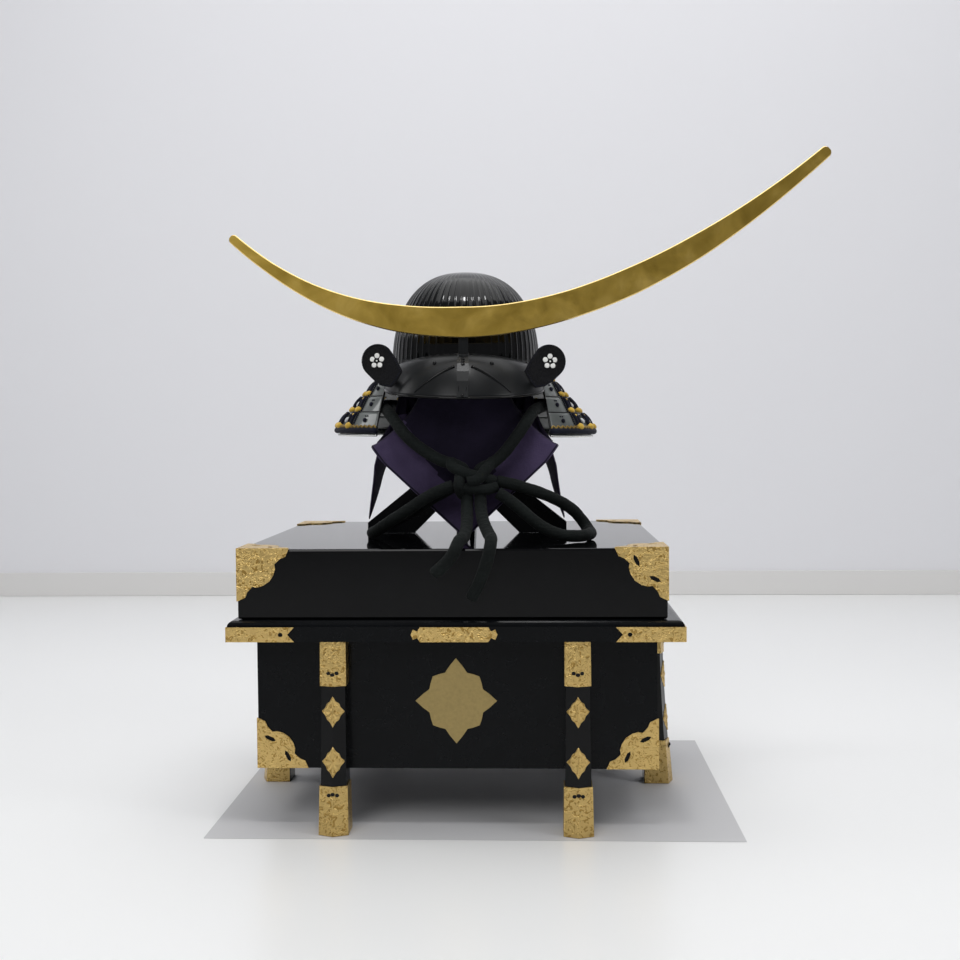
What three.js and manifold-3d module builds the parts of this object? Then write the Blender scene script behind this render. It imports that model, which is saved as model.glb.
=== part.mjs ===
// A samurai helmet with a gilt crescent crest, on its draped stand and six-legged armour chest.
// Millimetres, +Z up, the front looks along -Y. The origin is the middle of the footprint, on the floor.
import * as THREE from 'three';
import { mergeVertices } from 'three/addons/utils/BufferGeometryUtils.js';
import Module from 'manifold-3d';

const wasm = await Module();
wasm.setup();

const TAU = 2 * Math.PI;
const gap = 0.3;

// Armour chest
const lid = { width: 500, depth: 429, height: 82, wall: 9, bevel: 2.4, shift: -4 };
const rim = { overhang: 14.25, height: 24, face: 17.5, round: 6.5 };
const chest = { inset: 14.5, height: 155, wall: 10, base: 12, foot: 70 };
const leg = { spread: 284, top: 27, toe: 32, reachTop: 20, reachToe: 31, ridgeTop: 5, ridgeToe: 7 };

// Gilt fittings
const fitting = { thick: 1.2, lidCorner: 61, chestCorner: 60, shoe: 57, collar: 52, strap: 79, bar: 100, notch: 8 };
const pierced = { length: 15, width: 5.4, along: 0.59, across: 0.24, turn: 1.13, sides: 6 };
const ornament = { width: 96, height: 101, lobe: 0.16 };

// Stand under the helmet
const stand = { board: 14, beyond: 36.5, crossBeyond: 16.5, arch: 140, rise: 104, crotch: 67, toe: 14, flat: 56, y: 12 };
const post = { radius: 13, sides: 16 };
const former = { level: 30, clear: 6, under: 1 };

// Helmet, placed by the middle of its bowl's lower edge
const place = { x: 2.7, y: 12, aboveLid: 216.5, turn: 0.031, roll: 0.012 };
const bowl = { width: 193, length: 224, height: 129, wall: 2, ribs: 62, rib: 1.4, fullness: 2.4, rows: 6 };
const visor = { spread: 1.08, reach: 50, rise: 16, end: 3, front: 40.4, corner: 28, width: 203, back: 78, sweep: 1.45,
  bulge: 26, taper: 0.55, wall: 1.8, roll: 3.6, clear: 0.9, columns: 20 };
const holder = { width: 14, thick: 2, prongWidth: 12, prongTop: 54, prongThick: 2.5 };
const crest = { left: 286, right: 451, leftRise: 105, rightRise: 215, leftCurl: 2.42, rightCurl: 1.86, broad: 38,
  low: 53.2, offset: -2, ahead: 15.5, thick: 5, bevel: 0.8, steps: 12 };
const ear = { radius: 21, out: 106.1, up: 6.3, ahead: 3, tilt: 0.26, thick: 2.6, steps: 12 };
const earStem = [{ across: 15, up: 15 }, { across: 32, up: -13 }, { across: 18, up: -33 }, { across: -4, up: -25 }];
const earTab = { inner: 102.8, outer: 106, back: 50.3, low: -14, high: -4 };
const flower = { petals: 5, ring: 6.2, petal: 3.4, thick: 1.4, steps: 30 };
const guard = { lames: 4, sideClear: 3.6, bottom: 163, backClear: 3.5, bottomBack: 184, frontClear: 4,
  bottomFront: 130, endIn: 0.5, endBottom: 109, start: 5, drop: 85, wall: 2, lap: 0.045, step: 2.7, lift: 0.3,
  tuck: 9, tuckIn: 5, columns: 34 };

// Square cloth laid corner-wise over the head form
const cloth = { side: 525, thick: 1.6, forward: 29 };
const formRows = [0.3, 0.6, 0.82, 1];

// The hanging cloth: four flat corners of the square with a deep fold between each two.
// Angles are from a corner's middle; front and side say how far out a corner hangs at that many millimetres down.
const panel = { half: 0.42, foldEnd: 0.72, narrow: 0.66, valley: 0.1, room: 4.2, settle: 165, inset: 1.5,
  front: 2.6, frontDown: 133, side: 37, sideDown: 215, curl: 6, band: 38 };
const quarterAngles = [-0.72, -0.57, -0.42, -0.21, 0, 0.21, 0.42, 0.57, 0.72];
const hangingRows = [0.2, 0.42, 0.64, 0.84, 1];

// Chin cord: points of its routes, chosen by hand, in the chest's own frame
const cord = { diameter: 15, sides: 8, step: 28.5, tailStep: 16.5, knotLength: 48, knotDiameter: 21, knot: [21, -121, 398] };
const routes = {
  chin_loop: [[25, -121, 411], [27, -120, 420], [42, -116, 428], [56, -114, 440], [71, -111, 459], [85, -101, 480],
    [93, -82, 492], [104, -52, 498], [111, -14, 501], [113, 28, 503], [107, 74, 504], [83, 105, 505], [45, 127, 506],
    [3, 132, 506], [-39, 127, 506], [-77, 105, 505], [-101, 74, 504], [-107, 28, 503], [-106, -14, 501],
    [-99, -52, 498], [-90, -84, 492], [-80, -101, 480], [-64, -112, 461], [-45, -115, 445], [-23, -118, 432],
    [-2, -120, 425], [6, -121, 420], [7, -121, 411]],
  bow_left: [[-6.4, -130, 400.5], [-18, -130, 396.5], [-31.5, -130, 390.5], [-45, -130, 382.5], [-57, -129, 374.5],
    [-71, -126, 365.5], [-85, -120, 356.5], [-98, -111, 348], [-108, -99, 341.5], [-112, -84, 339.5],
    [-108, -70, 341], [-97, -62, 348], [-84, -66, 354], [-71, -80, 360.5], [-58, -101, 367.5], [-45, -116, 376.5],
    [-33, -115.5, 384.5], [-20, -115.5, 391.5], [-8, -115, 398]],
  bow_right: [[46.9, -114, 405], [66, -114, 401.5], [85, -112, 395.5], [101, -108, 390], [117, -102, 383],
    [132, -94, 374.5], [145, -86, 364], [154, -82, 352.5], [160, -86, 343.5], [163, -100, 339.6], [161, -118, 339.4],
    [153, -135, 339.3], [139, -145, 339.4], [123, -146, 341.5], [108, -143, 347.5], [95, -140, 356],
    [81, -137, 367.5], [65, -134, 381], [49, -131, 391.5]],
  tail_left: [[11, -128, 389.3], [11, -133, 376], [11.5, -146, 363], [12, -163, 353.5], [11, -182, 346.5],
    [9.5, -202, 342.5], [6.5, -218.5, 341], [1.5, -227.5, 330.5], [-5, -228, 320], [-14.5, -225.5, 310.5],
    [-25, -224, 301.5]],
  tail_right: [[27, -128, 389.3], [28, -137, 374], [30.5, -152, 362], [34.5, -170, 353], [39, -188, 346.5],
    [42.5, -204, 342.5], [43, -219.5, 340], [41, -228, 328], [37.5, -228, 315], [33, -225.5, 302], [27, -224, 288],
    [18.5, -224, 272]],
};

const materials = {
  lacquer: new THREE.MeshStandardMaterial({ color: 0x0b0c0e, roughness: 0.12, metalness: 0 }),
  satinLacquer: new THREE.MeshStandardMaterial({ color: 0x121415, roughness: 0.4, metalness: 0 }),
  gilt: new THREE.MeshStandardMaterial({ color: 0xbf9a4c, roughness: 0.35, metalness: 1 }),
  leaf: new THREE.MeshStandardMaterial({ color: 0xc2962e, roughness: 0.38, metalness: 1 }),
  leather: new THREE.MeshStandardMaterial({ color: 0x16161a, roughness: 0.6, metalness: 0 }),
  enamel: new THREE.MeshStandardMaterial({ color: 0xf2f2ee, roughness: 0.4, metalness: 0 }),
  cloth: new THREE.MeshStandardMaterial({ color: 0x2a2433, roughness: 0.9, metalness: 0 }),
  crepe: new THREE.MeshStandardMaterial({ color: 0x1a211f, roughness: 0.85, metalness: 0 }),
};

// Levels above the floor, and sizes that follow from the chest's lid
const chestTop = chest.foot + chest.height;
const rimTop = chestTop + rim.height;
const lidBottom = rimTop + gap;
const lidTop = lidBottom + lid.height;
const chestWidth = lid.width - 2 * chest.inset;
const chestDepth = lid.depth - 2 * chest.inset;
const rimWidth = lid.width + 2 * rim.overhang;
const rimDepth = lid.depth + 2 * rim.overhang;
const standFoot = lidTop + gap;
const bowlBase = lidTop + place.aboveLid;
const formerBase = bowlBase + former.level;

// The stand's boards reach a little beyond the bowl they are made for
const standSpan = bowl.width + 2 * stand.beyond;
const crossSpan = bowl.width + 2 * stand.crossBeyond;

// What sits on the bowl keeps its clearance from it
const crestForward = bowl.length / 2 + crest.ahead;
const earForward = bowl.length / 2 + ear.ahead;
const guardTop = bowl.width / 2 + guard.sideClear;
const guardEndTop = bowl.width / 2 - guard.endIn;
const guardTopBack = bowl.length / 2 + guard.backClear;
const guardTopFront = bowl.length / 2 + guard.frontClear;

const mix = (a, b, t) => a + (b - a) * t;

// Half width of the bowl's section at a height above its lower edge, as a share of the half width there
const bowlShare = (z) => (1 - (z / bowl.height) ** bowl.fullness) ** (1 / bowl.fullness);

// The head form fills the bowl at its level, less the cloth and its seat
const seatShare = bowlShare(former.level);
const drapeHalfWidth = (bowl.width / 2 - bowl.wall) * seatShare - former.clear;
const drapeHalfLength = (bowl.length / 2 - bowl.wall) * seatShare - former.clear;
const drapeHeight = bowl.height - bowl.wall - former.level - former.under;

// A closed solid from triangles, with equal corners merged, slivers dropped and faces turned out
function solid(triangles) {
  const loose = new THREE.BufferGeometry();
  loose.setAttribute('position', new THREE.BufferAttribute(new Float32Array(triangles.flat(2)), 3));
  const merged = mergeVertices(loose, 1e-3);
  const index = merged.getIndex().array;
  const kept = [];
  for (let i = 0; i < index.length; i += 3) {
    const [a, b, c] = [index[i], index[i + 1], index[i + 2]];
    if (a !== b && b !== c && c !== a) kept.push(a, b, c);
  }
  merged.setIndex(kept);
  return facingOut(merged);
}

// Turns the faces over if they enclose a negative volume
function facingOut(geometry) {
  const position = geometry.getAttribute('position');
  const index = geometry.getIndex().array;
  const corners = [new THREE.Vector3(), new THREE.Vector3(), new THREE.Vector3()];
  let volume = 0;
  for (let i = 0; i < index.length; i += 3) {
    corners.forEach((corner, k) => corner.fromBufferAttribute(position, index[i + k]));
    volume += corners[0].dot(corners[1].cross(corners[2]));
  }
  if (volume < 0) {
    for (let i = 0; i < index.length; i += 3) [index[i], index[i + 2]] = [index[i + 2], index[i]];
  }
  return geometry;
}

// Triangles of a grid of points, rows by columns
function skin(grid, wrap, flip = false) {
  const out = [];
  for (let i = 0; i + 1 < grid.length; i += 1) {
    const columns = grid[i].length;
    for (let j = 0; j < (wrap ? columns : columns - 1); j += 1) {
      const k = (j + 1) % columns;
      const [a, b, c, d] = [grid[i][j], grid[i][k], grid[i + 1][k], grid[i + 1][j]];
      out.push(...(flip ? [[a, b, c], [a, c, d]] : [[a, c, b], [a, d, c]]));
    }
  }
  return out;
}

// A wall between an outer and an inner grid of the same rows and columns, open or closed round
function shell(outer, inner, wrap) {
  const last = outer.length - 1;
  const end = outer[0].length - 1;
  const column = (grid, j) => grid.map((row) => row[j]);
  const out = [...skin(outer, wrap), ...skin(inner, wrap, true)];
  out.push(...skin([inner[0], outer[0]], wrap), ...skin([outer[last], inner[last]], wrap));
  if (!wrap) {
    out.push(...skin([column(outer, 0), column(inner, 0)], false));
    out.push(...skin([column(inner, end), column(outer, end)], false));
  }
  return solid(out);
}

// The grid moved along its own normals, by a distance for each row
function moved(grid, wrap, distances) {
  const rows = grid.length;
  const point = (i, j) => new THREE.Vector3(...grid[i][j]);
  return grid.map((row, i) => row.map((_, j) => {
    const last = row.length - 1;
    const left = wrap ? (j + last) % row.length : Math.max(j - 1, 0);
    const right = wrap ? (j + 1) % row.length : Math.min(j + 1, last);
    const across = point(i, right).sub(point(i, left));
    const along = point(Math.min(i + 1, rows - 1), j).sub(point(Math.max(i - 1, 0), j));
    const normal = along.cross(across).normalize();
    return point(i, j).addScaledVector(normal, distances[i]).toArray();
  }));
}

// A closed body through rings of points, from the lowest to the highest
function stack(rings) {
  const middle = (ring) => [0, 1, 2].map((k) => ring.reduce((sum, p) => sum + p[k], 0) / ring.length);
  const cap = (ring) => ring.map(() => middle(ring));
  return solid(skin([cap(rings[0]), ...rings, cap(rings[rings.length - 1])], true));
}

function toManifold(geometry) {
  const bare = geometry.clone();
  bare.deleteAttribute('normal');
  bare.deleteAttribute('uv');
  const merged = mergeVertices(bare, 1e-4);
  return new wasm.Manifold(new wasm.Mesh({
    numProp: 3,
    vertProperties: new Float32Array(merged.getAttribute('position').array),
    triVerts: new Uint32Array(merged.getIndex().array),
  }));
}

function toGeometry(body) {
  const out = body.getMesh();
  const geometry = new THREE.BufferGeometry();
  geometry.setAttribute('position', new THREE.BufferAttribute(new Float32Array(out.vertProperties), 3));
  geometry.setIndex(new THREE.BufferAttribute(new Uint32Array(out.triVerts), 1));
  return geometry;
}

function join(...parts) {
  return toGeometry(parts.map(toManifold).reduce((sum, part) => sum.add(part)));
}

function cut(whole, ...tools) {
  return toGeometry(tools.map(toManifold).reduce((rest, tool) => rest.subtract(tool), toManifold(whole)));
}

// A box from its lowest to its highest corner
function block(x0, y0, z0, x1, y1, z1) {
  return new THREE.BoxGeometry(x1 - x0, y1 - y0, z1 - z0).translate((x0 + x1) / 2, (y0 + y1) / 2, (z0 + z1) / 2);
}

// A plate from an outline in x and z, its back in the plane y = 0, growing towards -Y
function plate(points, thick, holes = [], bevel = 0) {
  const outline = new THREE.Shape(points.map(([x, z]) => new THREE.Vector2(x, z)));
  outline.holes = holes.map((hole) => new THREE.Path(hole.map(([x, z]) => new THREE.Vector2(x, z))));
  const options = { depth: thick - 2 * bevel, bevelEnabled: bevel > 0, bevelSize: bevel, bevelThickness: bevel,
    bevelSegments: 1, bevelOffset: -bevel, steps: 1 };
  return new THREE.ExtrudeGeometry(outline, options).translate(0, 0, bevel).rotateX(Math.PI / 2);
}

const whole = new THREE.Group();
const helmet = new THREE.Group();
helmet.position.set(place.x, place.y, bowlBase);
helmet.rotation.set(0, place.roll, place.turn);
const head = new THREE.Group();
head.position.set(place.x + former.level * place.roll, place.y, 0);
head.rotation.z = place.turn;
whole.add(helmet, head);

function add(parent, name, geometry, material) {
  const mesh = new THREE.Mesh(geometry, material);
  mesh.name = name;
  parent.add(mesh);
}

// The chest's box with its open top and the rim that stands out round it
function chestBody() {
  const [w, d] = [chestWidth / 2, chestDepth / 2];
  const box = block(-w, -d, chest.foot, w, d, rimTop - rim.round);
  const corners = [[-1, -1], [1, -1], [1, 1], [-1, 1]];
  const ring = (inset, z) => corners.map(([i, j]) => [i * (rimWidth / 2 - inset), j * (rimDepth / 2 - inset), z]);
  const rings = [ring(0, chestTop)];
  for (const angle of [0, 0.4, 0.8, 1.2, Math.PI / 2]) {
    const z = chestTop + mix(rim.face, rim.height, Math.sin(angle));
    rings.push(ring(rim.round * (1 - Math.cos(angle)), z));
  }
  const [iw, id] = [w - chest.wall, d - chest.wall];
  return cut(join(box, stack(rings)), block(-iw, -id, chest.foot + chest.base, iw, id, rimTop + 1));
}

// The lid, a hollow box with softened edges, open below
function chestLid() {
  const [w, d, b] = [lid.width / 2, lid.depth / 2, lid.bevel];
  const outline = [[b - w, b - d], [w - b, b - d], [w - b, d - b], [b - w, d - b]];
  const shape = new THREE.Shape(outline.map(([x, y]) => new THREE.Vector2(x, y)));
  const options = { depth: lid.height - 2 * b, bevelSize: b, bevelThickness: b, bevelSegments: 2, steps: 1 };
  const outer = new THREE.ExtrudeGeometry(shape, options).translate(lid.shift, 0, lidBottom + b);
  const [iw, id] = [w - lid.wall, d - lid.wall];
  return cut(outer, block(lid.shift - iw, -id, lidBottom - 1, lid.shift + iw, id, lidTop - lid.wall));
}

// A leg flares to its foot in straight stretches between its levels
const legLevels = [0, 0.14, 0.32, 0.58, 1].map((share) => share * chestTop);

function legFlare(z) {
  const flare = legLevels.map((level) => (1 - level / chestTop) ** 1.6);
  const i = Math.max(1, legLevels.findIndex((level) => level >= z));
  const share = (z - legLevels[i - 1]) / (legLevels[i] - legLevels[i - 1]);
  return mix(flare[i - 1], flare[i], share);
}

// A leg's section: x across, -y away from the chest's face
function legRing(z, grow, back) {
  const flare = legFlare(Math.min(Math.max(z, 0), chestTop));
  const half = mix(leg.top, leg.toe, flare) / 2 + grow;
  const reach = mix(leg.reachTop, leg.reachToe, flare) + grow;
  const ridge = reach + mix(leg.ridgeTop, leg.ridgeToe, flare);
  return [[-half, -back, z], [-half, -reach, z], [0, -ridge, z], [half, -reach, z], [half, -back, z]];
}

function legBar(grow, back, z0, z1) {
  const between = legLevels.filter((z) => z > z0 + 1 && z < z1 - 1);
  return stack([z0, ...between, z1].map((z) => legRing(z, grow, back)));
}

// A metal sleeve round three sides of a leg, between two levels
function legSleeve(z0, z1) {
  const inner = legBar(gap, -20, z0 - 5, z1 + 5);
  return cut(legBar(gap + fitting.thick, 1, z0, z1), inner);
}

const legSpots = [
  { name: 'front_left', x: -leg.spread / 2, y: -chestDepth / 2, turn: 0 },
  { name: 'front_right', x: leg.spread / 2, y: -chestDepth / 2, turn: 0 },
  { name: 'right', x: chestWidth / 2, y: 0, turn: Math.PI / 2 },
  { name: 'back_right', x: leg.spread / 2, y: chestDepth / 2, turn: Math.PI },
  { name: 'back_left', x: -leg.spread / 2, y: chestDepth / 2, turn: Math.PI },
  { name: 'left', x: -chestWidth / 2, y: 0, turn: -Math.PI / 2 },
];

function addLegs() {
  const collarTop = chestTop - gap;
  for (const spot of legSpots) {
    const stance = new THREE.Group();
    stance.position.set(spot.x, spot.y, 0);
    stance.rotation.z = spot.turn;
    whole.add(stance);
    add(stance, `leg_${spot.name}`, legBar(0, gap, 0, chestTop - gap), materials.lacquer);
    add(stance, `shoe_${spot.name}`, legSleeve(gap, fitting.shoe), materials.gilt);
    add(stance, `collar_${spot.name}`, legSleeve(collarTop - fitting.collar, collarTop), materials.gilt);
  }
}

// Half the lobed edge of a corner fitting, as shares of its size, mirrored over the diagonal
const cornerEdge = [
  { along: 1, across: 0 },
  { along: 0.93, across: 0.15 },
  { along: 0.83, across: 0.19 },
  { along: 0.72, across: 0.29 },
  { along: 0.735, across: 0.38 },
  { along: 0.70, across: 0.50 },
  { along: 0.62, across: 0.62 },
];

function cornerOutline(size) {
  const half = cornerEdge.map((row) => [row.along * size, row.across * size]);
  return [[0, 0], ...half, ...half.slice(0, -1).reverse().map(([a, b]) => [b, a])];
}

// The outline of three joined dots pierced through a fitting
function piercing(x, z, turn) {
  return Array.from({ length: pierced.sides }, (_, i) => {
    const angle = i * TAU / pierced.sides;
    const [u, v] = [Math.cos(angle) * pierced.length / 2, Math.sin(angle) * pierced.width / 2];
    return [x + u * Math.cos(turn) - v * Math.sin(turn), z + u * Math.sin(turn) + v * Math.cos(turn)];
  });
}

// A corner fitting that grows along +X, +Y and +Z from its corner, on two or three faces
function cornerFitting(size, faces) {
  const t = fitting.thick;
  const [far, near] = [pierced.along * size, pierced.across * size];
  const holes = [piercing(far, near, Math.PI - pierced.turn), piercing(near, far, pierced.turn - Math.PI / 2)];
  const face = plate(cornerOutline(size), t, holes);
  const cycle = new THREE.Matrix4().set(0, 1, 0, 0, 0, 0, 1, 0, 1, 0, 0, 0, 0, 0, 0, 1);
  const side = face.clone().applyMatrix4(cycle);
  const lap = 0.05;
  const parts = [face, side, block(-t, -t, 0, lap, lap, size)];
  if (faces === 3) {
    parts.push(plate(cornerOutline(size), t).applyMatrix4(cycle).applyMatrix4(cycle));
    parts.push(block(0, -t, -t, size, lap, lap), block(-t, 0, -t, lap, size, lap), block(-t, -t, -t, lap, lap, lap));
  }
  return join(...parts);
}

// A strap round a corner of the rim, with a swallow-tail end on both faces
function rimStrap() {
  const [length, high, t] = [fitting.strap, rim.face - gap, fitting.thick];
  const heart = piercing(length - 2 * fitting.notch, high / 2, 0).map(([x, z]) => [
    mix(length - 2 * fitting.notch, x, 0.4), z]);
  const outline = [[0, 0], [length, 0], [length - fitting.notch, high / 2], [length, high], [0, high]];
  const face = plate(outline, t, [heart]);
  const turned = new THREE.Matrix4().makeRotationAxis(new THREE.Vector3(1, 1, 0).normalize(), Math.PI);
  const side = face.clone().applyMatrix4(turned).translate(0, 0, high);
  return join(face, side, block(-t, -t, 0, 0.05, 0.05, high));
}

// A bar with lobed ends on the middle of the rim's face
function rimBar() {
  const [half, high] = [fitting.bar / 2, rim.face - gap];
  const end = [[1, 0.5], [0.95, 0.84], [0.85, 0.72], [0.79, 1]];
  const quarter = end.map(([x, z]) => [x * half, z * high]);
  const upper = [...quarter, ...quarter.slice().reverse().map(([x, z]) => [-x, z])];
  const lower = upper.slice(1, -1).reverse().map(([x, z]) => [x, high - z]);
  return plate([...upper, ...lower], fitting.thick);
}

// A plain lobed lozenge on the chest's front
function chestOrnament() {
  const points = Array.from({ length: 32 }, (_, i) => {
    const angle = i * TAU / 32;
    const edge = 1 / (Math.abs(Math.cos(angle)) + Math.abs(Math.sin(angle)));
    const share = mix(edge, 1, 0.35) * (1 - ornament.lobe * Math.sin(4 * angle) ** 2);
    return [Math.cos(angle) * share * ornament.width / 2, Math.sin(angle) * share * ornament.height / 2];
  });
  return plate(points, fitting.thick);
}

function addFittings() {
  const corners = [
    { name: 'front_left', i: -1, j: -1, turn: 0 },
    { name: 'front_right', i: 1, j: -1, turn: Math.PI / 2 },
    { name: 'back_right', i: 1, j: 1, turn: Math.PI },
    { name: 'back_left', i: -1, j: 1, turn: -Math.PI / 2 },
  ];
  const spot = (corner, width, depth, x, z) => {
    const seat = new THREE.Group();
    seat.position.set(x + corner.i * (width / 2 + gap), corner.j * (depth / 2 + gap), z);
    seat.rotation.z = corner.turn;
    whole.add(seat);
    return seat;
  };
  for (const corner of corners) {
    const onLid = spot(corner, lid.width, lid.depth, lid.shift, lidTop + gap);
    const lidPiece = cornerFitting(fitting.lidCorner, 3).rotateX(-Math.PI / 2);
    add(onLid, `lid_corner_${corner.name}`, lidPiece, materials.gilt);
    const onChest = spot(corner, chestWidth, chestDepth, 0, chest.foot);
    add(onChest, `chest_corner_${corner.name}`, cornerFitting(fitting.chestCorner, 2), materials.gilt);
    const onRim = spot(corner, rimWidth, rimDepth, 0, chestTop);
    add(onRim, `rim_strap_${corner.name}`, rimStrap(), materials.gilt);
  }
  for (const [name, side] of [['front', -1], ['back', 1]]) {
    const bar = rimBar().rotateZ(side < 0 ? 0 : Math.PI);
    add(whole, `rim_bar_${name}`, bar.translate(0, side * (rimDepth / 2 + gap), chestTop), materials.gilt);
  }
  const mark = chestOrnament().translate(0, -chestDepth / 2 - gap, chest.foot + chest.height * 0.52);
  add(whole, 'chest_ornament', mark, materials.gilt);
}

// One arched board of the stand, in x and z, with its feet at z = 0
function archBoard(span) {
  const [foot, top] = [span / 2, stand.flat / 2];
  const crotchHalf = stand.arch / 2 - stand.crotch;
  const half = [[stand.arch / 2, 0], [foot, 0], [foot, stand.toe], [top, stand.rise - 6], [top, stand.rise]];
  const mirror = half.slice().reverse().map(([x, z]) => [-x, z]);
  const outline = [...half, ...mirror, [-crotchHalf, stand.crotch], [crotchHalf, stand.crotch]];
  return plate(outline, stand.board).translate(0, stand.board / 2, 0);
}

// Two boards half-lapped crosswise, a post, and the shallow dome that carries cloth and helmet
function addStand() {
  const slot = stand.board / 2 + gap;
  const lapLevel = (stand.crotch + stand.rise) / 2;
  const long = cut(archBoard(standSpan), block(-slot, -slot, -1, slot, slot, lapLevel));
  const upper = block(-slot, -slot, lapLevel - gap, slot, slot, stand.rise + 1);
  const cross = cut(archBoard(crossSpan).rotateZ(Math.PI / 2), upper);
  add(whole, 'stand_board', long.translate(place.x, stand.y, standFoot), materials.lacquer);
  add(whole, 'stand_cross', cross.translate(place.x, stand.y, standFoot), materials.lacquer);
  const postBottom = standFoot + stand.rise + gap;
  const length = formerBase - gap - postBottom;
  const bar = new THREE.CylinderGeometry(post.radius, post.radius, length, post.sides).rotateX(Math.PI / 2);
  add(head, 'stand_post', bar.translate(0, 0, postBottom + length / 2), materials.lacquer);
  add(head, 'head_form', headForm(), materials.satinLacquer);
}

// The head form's radius in a direction from the front, and the length over it down to its widest ring
function formRadius(angle) {
  return 1 / Math.hypot(Math.sin(angle) / drapeHalfWidth, Math.cos(angle) / drapeHalfLength);
}

function formArc(angle) {
  const [a, b] = [formRadius(angle), drapeHeight];
  const h = ((a - b) / (a + b)) ** 2;
  return Math.PI / 4 * (a + b) * (1 + 3 * h / (10 + Math.sqrt(4 - 3 * h)));
}

// The square's edge, seen from its middle, with the cloth pulled a little to the front
function clothReach(angle) {
  const corner = cloth.side / Math.SQRT2;
  return corner / (Math.abs(Math.sin(angle)) + Math.abs(Math.cos(angle))) + cloth.forward * Math.cos(angle);
}

// A place on the hanging cloth, a length below the head form's widest ring
function hangingPoint(angle, length) {
  const axis = Math.round(angle / (Math.PI / 2));
  const facing = axis * Math.PI / 2;
  const local = angle - facing;
  const side = local < 0 ? -1 : 1;
  const turn = Math.min(Math.abs(local), panel.half);
  const into = Math.min(1, (Math.abs(local) - turn) / (panel.foldEnd - panel.half));
  const run = length + formArc(angle);
  const settled = Math.min(1, length / panel.settle) ** 1.5;
  const toFront = axis % 2 === 0;
  const fall = toFront ? panel.front * (length / panel.frontDown) ** 2.6 : panel.side * (length / panel.sideDown) ** 1.3;
  const nearHem = Math.max(0, 1 - (clothReach(angle) - formArc(angle) - length) * 0.75 / panel.band);
  const stands = formRadius(facing) + fall + panel.curl * nearHem ** 1.5 - panel.inset * settled;
  const wide = run * Math.sin(turn) * (toFront ? 1 : panel.narrow);
  const valley = panel.valley * run;
  const out = mix(stands, valley + panel.room, into);
  const across = side * mix(wide, valley - panel.room, into);
  const ring = formRadius(angle);
  return [
    mix(ring * Math.sin(angle), out * Math.sin(facing) + across * Math.cos(facing), settled),
    mix(-ring * Math.cos(angle), -out * Math.cos(facing) + across * Math.sin(facing), settled),
    formerBase - length + settled * run * (1 - Math.cos(turn)),
  ];
}

// Rows of the draped surface over the head form, and rows of the part that hangs below it
function drapeGrid() {
  const quarters = [0, 1, 2, 3].map((quarter) => quarter * Math.PI / 2);
  const angles = quarters.flatMap((facing) => quarterAngles.map((local) => facing + local));
  const onForm = formRows.map((share) => angles.map((angle) => {
    const turn = share * Math.PI / 2;
    const out = formRadius(angle) * Math.sin(turn);
    return [out * Math.sin(angle), -out * Math.cos(angle), formerBase + drapeHeight * Math.cos(turn)];
  }));
  const below = hangingRows.map((share) => angles.map((angle) => (
    hangingPoint(angle, share * (clothReach(angle) - formArc(angle))))));
  return { onForm, below };
}

const crownRing = (depth) => Array.from({ length: 4 * quarterAngles.length }, () => (
  [0, 0, formerBase + drapeHeight - depth]));

function clothShell() {
  const { onForm, below } = drapeGrid();
  const outer = [...onForm, ...below];
  const inner = moved(outer, true, outer.map(() => -cloth.thick));
  return solid([...skin([crownRing(0), ...outer], true), ...skin([crownRing(cloth.thick), ...inner], true, true),
    ...skin([outer[outer.length - 1], inner[inner.length - 1]], true)]);
}

// The head form fills the cloth's dome, a hair's breadth below it
function headForm() {
  const { onForm, below } = drapeGrid();
  const inset = cloth.thick + gap;
  const inner = moved([...onForm, below[0]], true, [...onForm.map(() => -inset), 0]).slice(0, -1);
  const bottom = onForm[0].map(() => [0, 0, formerBase]);
  return solid(skin([crownRing(inset), ...inner, bottom], true));
}

// The ribbed bowl
function bowlShell() {
  const columns = 2 * bowl.ribs;
  const power = 2 / bowl.fullness;
  const grid = (inset, rib, rows) => rows.map((share) => {
    const rise = share * Math.PI / 2;
    const wide = Math.cos(rise) ** power;
    const z = Math.sin(rise) ** power * (bowl.height - inset);
    return Array.from({ length: columns }, (_, j) => {
      const angle = j * TAU / columns;
      const lift = (j % 2) * rib * Math.min(1, 2 * wide);
      const [a, b] = [(bowl.width / 2 - inset) * wide + lift, (bowl.length / 2 - inset) * wide + lift];
      return [a * Math.sin(angle), -b * Math.cos(angle), z];
    });
  });
  const rows = Array.from({ length: bowl.rows }, (_, i) => i / bowl.rows);
  const outer = grid(0, bowl.rib, rows);
  const inner = grid(bowl.wall, 0, rows.filter((_, i) => i % 2 === 0));
  const apex = (z) => Array.from({ length: columns }, () => [0, 0, z]);
  return solid([...skin([...outer, apex(bowl.height)], true, true), ...skin([inner[0], outer[0]], true, true),
    ...skin([...inner, apex(bowl.height - bowl.wall)], true)]);
}

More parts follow.
